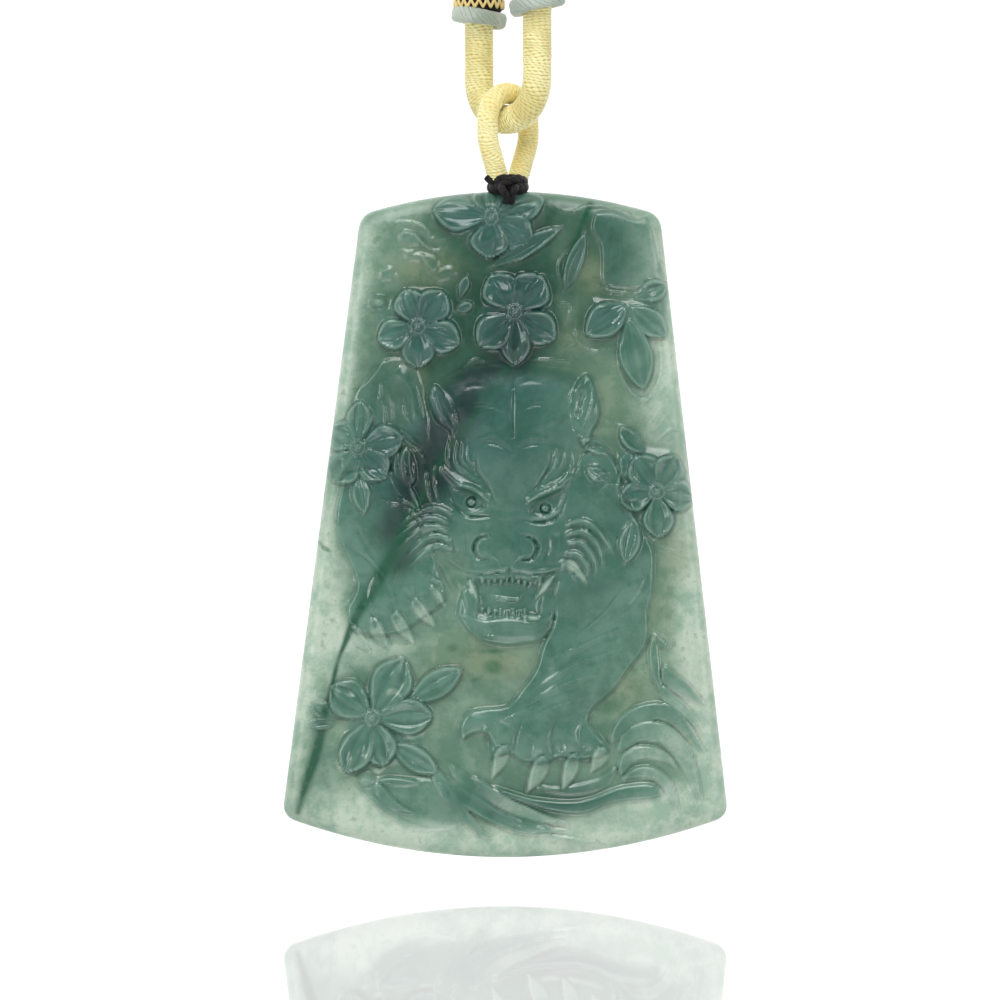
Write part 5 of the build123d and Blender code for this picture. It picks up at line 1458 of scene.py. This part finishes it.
def patches(x, up, table):
    """How deep each place lies in a set of soft patches, 0 to 1."""
    total = np.zeros(x.shape)
    for px, pup, half_width, half_height, degrees, strength in table:
        c, s = np.cos(np.radians(degrees)), np.sin(np.radians(degrees))
        a = ((x - px) * c + (up - pup) * s) / half_width
        b = ((up - pup) * c - (x - px) * s) / half_height
        total = 1 - (1 - total) * (1 - strength * np.exp(-(a * a + b * b)))
    return total


def vein_strength(x, up):
    """The dark vein: full in its middle, gone at twice its half width."""
    table = np.array(VEIN)
    line = bent(table[:, :2], 6)
    away, share, _ = to_line(x, up, line)
    steps = np.concatenate([[0], np.cumsum(np.hypot(*np.diff(table[:, :2], axis=0).T))])
    steps /= steps[-1]
    half = np.interp(share, steps, table[:, 2])
    return np.interp(share, steps, table[:, 3]) * np.exp(-np.abs(away / half) ** 1.5)


count = len(carved.vertices)
spots = np.empty(count * 3)
carved.vertices.foreach_get("co", spots)
x, _, up = (spots.reshape(-1, 3) / MM - np.array([0, 0, BOTTOM_Z / MM])).T
rows = np.concatenate([plaque_edge, plaque_edge[:1]])[::4]
inward = to_line(x, up, rows)[0]
numbers = {
    "rim": 1 - smooth(0, 2.2, inward),
    "vein": vein_strength(x, up),
    "deep": patches(x, up, DEEP_PATCHES),
    "dark": patches(x, up, DARK_PATCHES),
    "olive": patches(x, up, OLIVE_PATCHES),
    "moss": patches(x, up, MOSS_PATCHES),
    "pale": patches(x, up, PALE_PATCHES),
    "inside": np.max([mass(x, up, *form) for form in GREEN_AREAS], axis=0),
}
for key, values in numbers.items():
    carved.attributes.new(key, "FLOAT", "POINT").data.foreach_set("value", values.astype(np.float32))
print("numbers on the stone", ", ".join(numbers))

# %% [markdown]
# ## The jade itself
# Polished jade is translucent: light enters, scatters in the stone and comes out green, and
# the surface adds a thin, sharp shine. So the material has a short scattering distance and a
# low roughness. Fine noise breaks the patches into wisps and specks. The bottoms of the cuts
# get painted shade, a darker colour, and the tops of ridges a painted highlight, a paler one.

# %% Noise for the jade
jade, tree, shader = new_material("carved_jade")
where = add(tree, "ShaderNodeTexCoord").outputs["Object"]
wisp = add(tree, "ShaderNodeTexNoise", {"Vector": where, "Scale": 170.0, "Detail": 6.0, "Distortion": 1.2})
wisp = wisp.outputs["Fac"]
fluff = add(tree, "ShaderNodeTexNoise", {"Vector": where, "Scale": 420.0, "Detail": 8.0, "Roughness": 0.68})
fluff = fluff.outputs["Fac"]
grain = add(tree, "ShaderNodeTexNoise", {"Vector": where, "Scale": 1500.0, "Detail": 3.0}).outputs["Fac"]
ragged = calc(tree, "ADD", calc(tree, "MULTIPLY", wisp, 0.9), calc(tree, "MULTIPLY", fluff, 0.7))


def wispy(name, low, high):
    """A number of the mesh with its edge torn by the noise, 0 below low and 1 above high."""
    torn = calc(tree, "MULTIPLY", value_of(tree, name), calc(tree, "ADD", ragged, 0.2))
    return ramp(tree, torn, low, high)


def part_of(mask, share):
    """A mask made weaker."""
    return calc(tree, "MULTIPLY", mask, share)


# %% Colours of the jade
PALE_GREEN = (0.46, 0.60, 0.475, 1)
GROUND_GREEN = (0.215, 0.345, 0.24, 1)
COOL_GROUND = (0.145, 0.275, 0.195, 1)
OLIVE_GREEN = (0.190, 0.260, 0.150, 1)
DEEP_GROUND = (0.022, 0.090, 0.055, 1)
CARVED_TEAL = (0.098, 0.235, 0.172, 1)
DEEP_TEAL = (0.036, 0.122, 0.100, 1)
SMOKY_BLUE = (0.010, 0.032, 0.030, 1)
VEIN_GREEN = (0.006, 0.088, 0.042, 1)
MOSS_GREEN = (0.055, 0.165, 0.085, 1)

deep = wispy("deep", 0.03, 0.9)
ground = mix(tree, ramp(tree, wisp, 0.35, 0.65), GROUND_GREEN, COOL_GROUND)
ground = mix(tree, part_of(wispy("pale", 0.04, 0.75), 0.95), ground, PALE_GREEN)
# Painted light: the ground is paler within 2.2 mm of the outline, as if light glowed through the thin rounded edge
ground = mix(tree, part_of(value_of(tree, "rim"), 0.35), ground, PALE_GREEN)
# Partly the stone's colour, partly painted backlight: inside the green areas the ground takes the cooler green
ground = mix(tree, value_of(tree, "inside"), ground, COOL_GROUND)
ground = mix(tree, deep, ground, DEEP_GROUND)
ground = mix(tree, part_of(wispy("olive", 0.04, 0.8), 0.65), ground, OLIVE_GREEN)
ground = mix(tree, part_of(wispy("moss", 0.2, 0.75), 0.75), ground, MOSS_GREEN)
specks = calc(tree, "MULTIPLY", ramp(tree, fluff, 0.56, 0.68), ramp(tree, grain, 0.45, 0.6))
ground = mix(tree, part_of(specks, 0.45), ground, MOSS_GREEN)
carved_colour = mix(tree, deep, CARVED_TEAL, DEEP_TEAL)
# Partly the stone's colour, partly painted backlight: thick carved forms take the deeper teal, thin ground stays
# paler
raised = ramp(tree, value_of(tree, "thickness"), 0.02, 0.32)
colour = mix(tree, part_of(raised, 0.85), ground, carved_colour)
colour = mix(tree, part_of(wispy("dark", 0.05, 0.85), 0.9), colour, SMOKY_BLUE)
broken = calc(tree, "MULTIPLY", wispy("vein", 0.08, 0.9), ramp(tree, fluff, 0.34, 0.56, 0.45, 0.95))
colour = mix(tree, broken, colour, VEIN_GREEN)
# Painted light: blades listed as pale take the pale green
colour = mix(tree, part_of(value_of(tree, "painted_blade_light"), 0.46), colour, PALE_GREEN)
cloudy = mix(tree, ramp(tree, fluff, 0.38, 0.62), (0.70, 0.82, 0.78, 1), (1.34, 1.2, 1.24, 1))
colour = mix(tree, 0.8, colour, cloudy, "MULTIPLY")
# Painted shade in the valleys of the petal folds
colour = mix(tree, ramp(tree, value_of(tree, "petal_fold_shade"), 0.25, 1.0, 0.0, 0.4), colour, DEEP_TEAL)
# Painted shade in the bottoms of cuts, and a painted highlight on ridge tops
cut = value_of(tree, "cut")
colour = mix(tree, ramp(tree, cut, -0.15, -1.4, 0.0, 0.45), colour, (0.012, 0.045, 0.032, 1))
colour = mix(tree, ramp(tree, cut, 0.2, 1.5, 0.0, 0.3), colour, (0.40, 0.55, 0.47, 1))

# %% Shine and scattering of the jade
tree.links.new(colour, shader.inputs["Base Color"])
shader.inputs["Subsurface Weight"].default_value = 0.3
shader.inputs["Subsurface Radius"].default_value = (0.7, 1.0, 0.8)
shader.inputs["Subsurface Scale"].default_value = 0.0003
shader.inputs["IOR"].default_value = 1.62
matt = calc(tree, "ADD", ramp(tree, grain, 0.3, 0.7, 0.15, 0.24), part_of(value_of(tree, "rim"), 0.25))
tree.links.new(matt, shader.inputs["Roughness"])
polish = add(tree, "ShaderNodeBump", {"Height": wisp, "Strength": 0.12, "Distance": 0.0002})
lines = calc(tree, "SINE", calc(tree, "MULTIPLY", value_of(tree, "petal_veins"), 19.0))
veined = add(tree, "ShaderNodeBump", {"Height": lines, "Strength": 0.25, "Distance": 0.00006,
                                      "Normal": polish.outputs["Normal"]})
tree.links.new(veined.outputs["Normal"], shader.inputs["Normal"])

# %% The plaque as a piece
carved.materials.clear()
carved.materials.append(jade)
carved.shade_smooth()
carved.set_sharp_from_angle(angle=np.radians(70))
plaque = bpy.data.objects.new("carved_plaque", carved)
bpy.context.scene.collection.objects.link(plaque)
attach(plaque, "pendant")
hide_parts("jade_plaque")
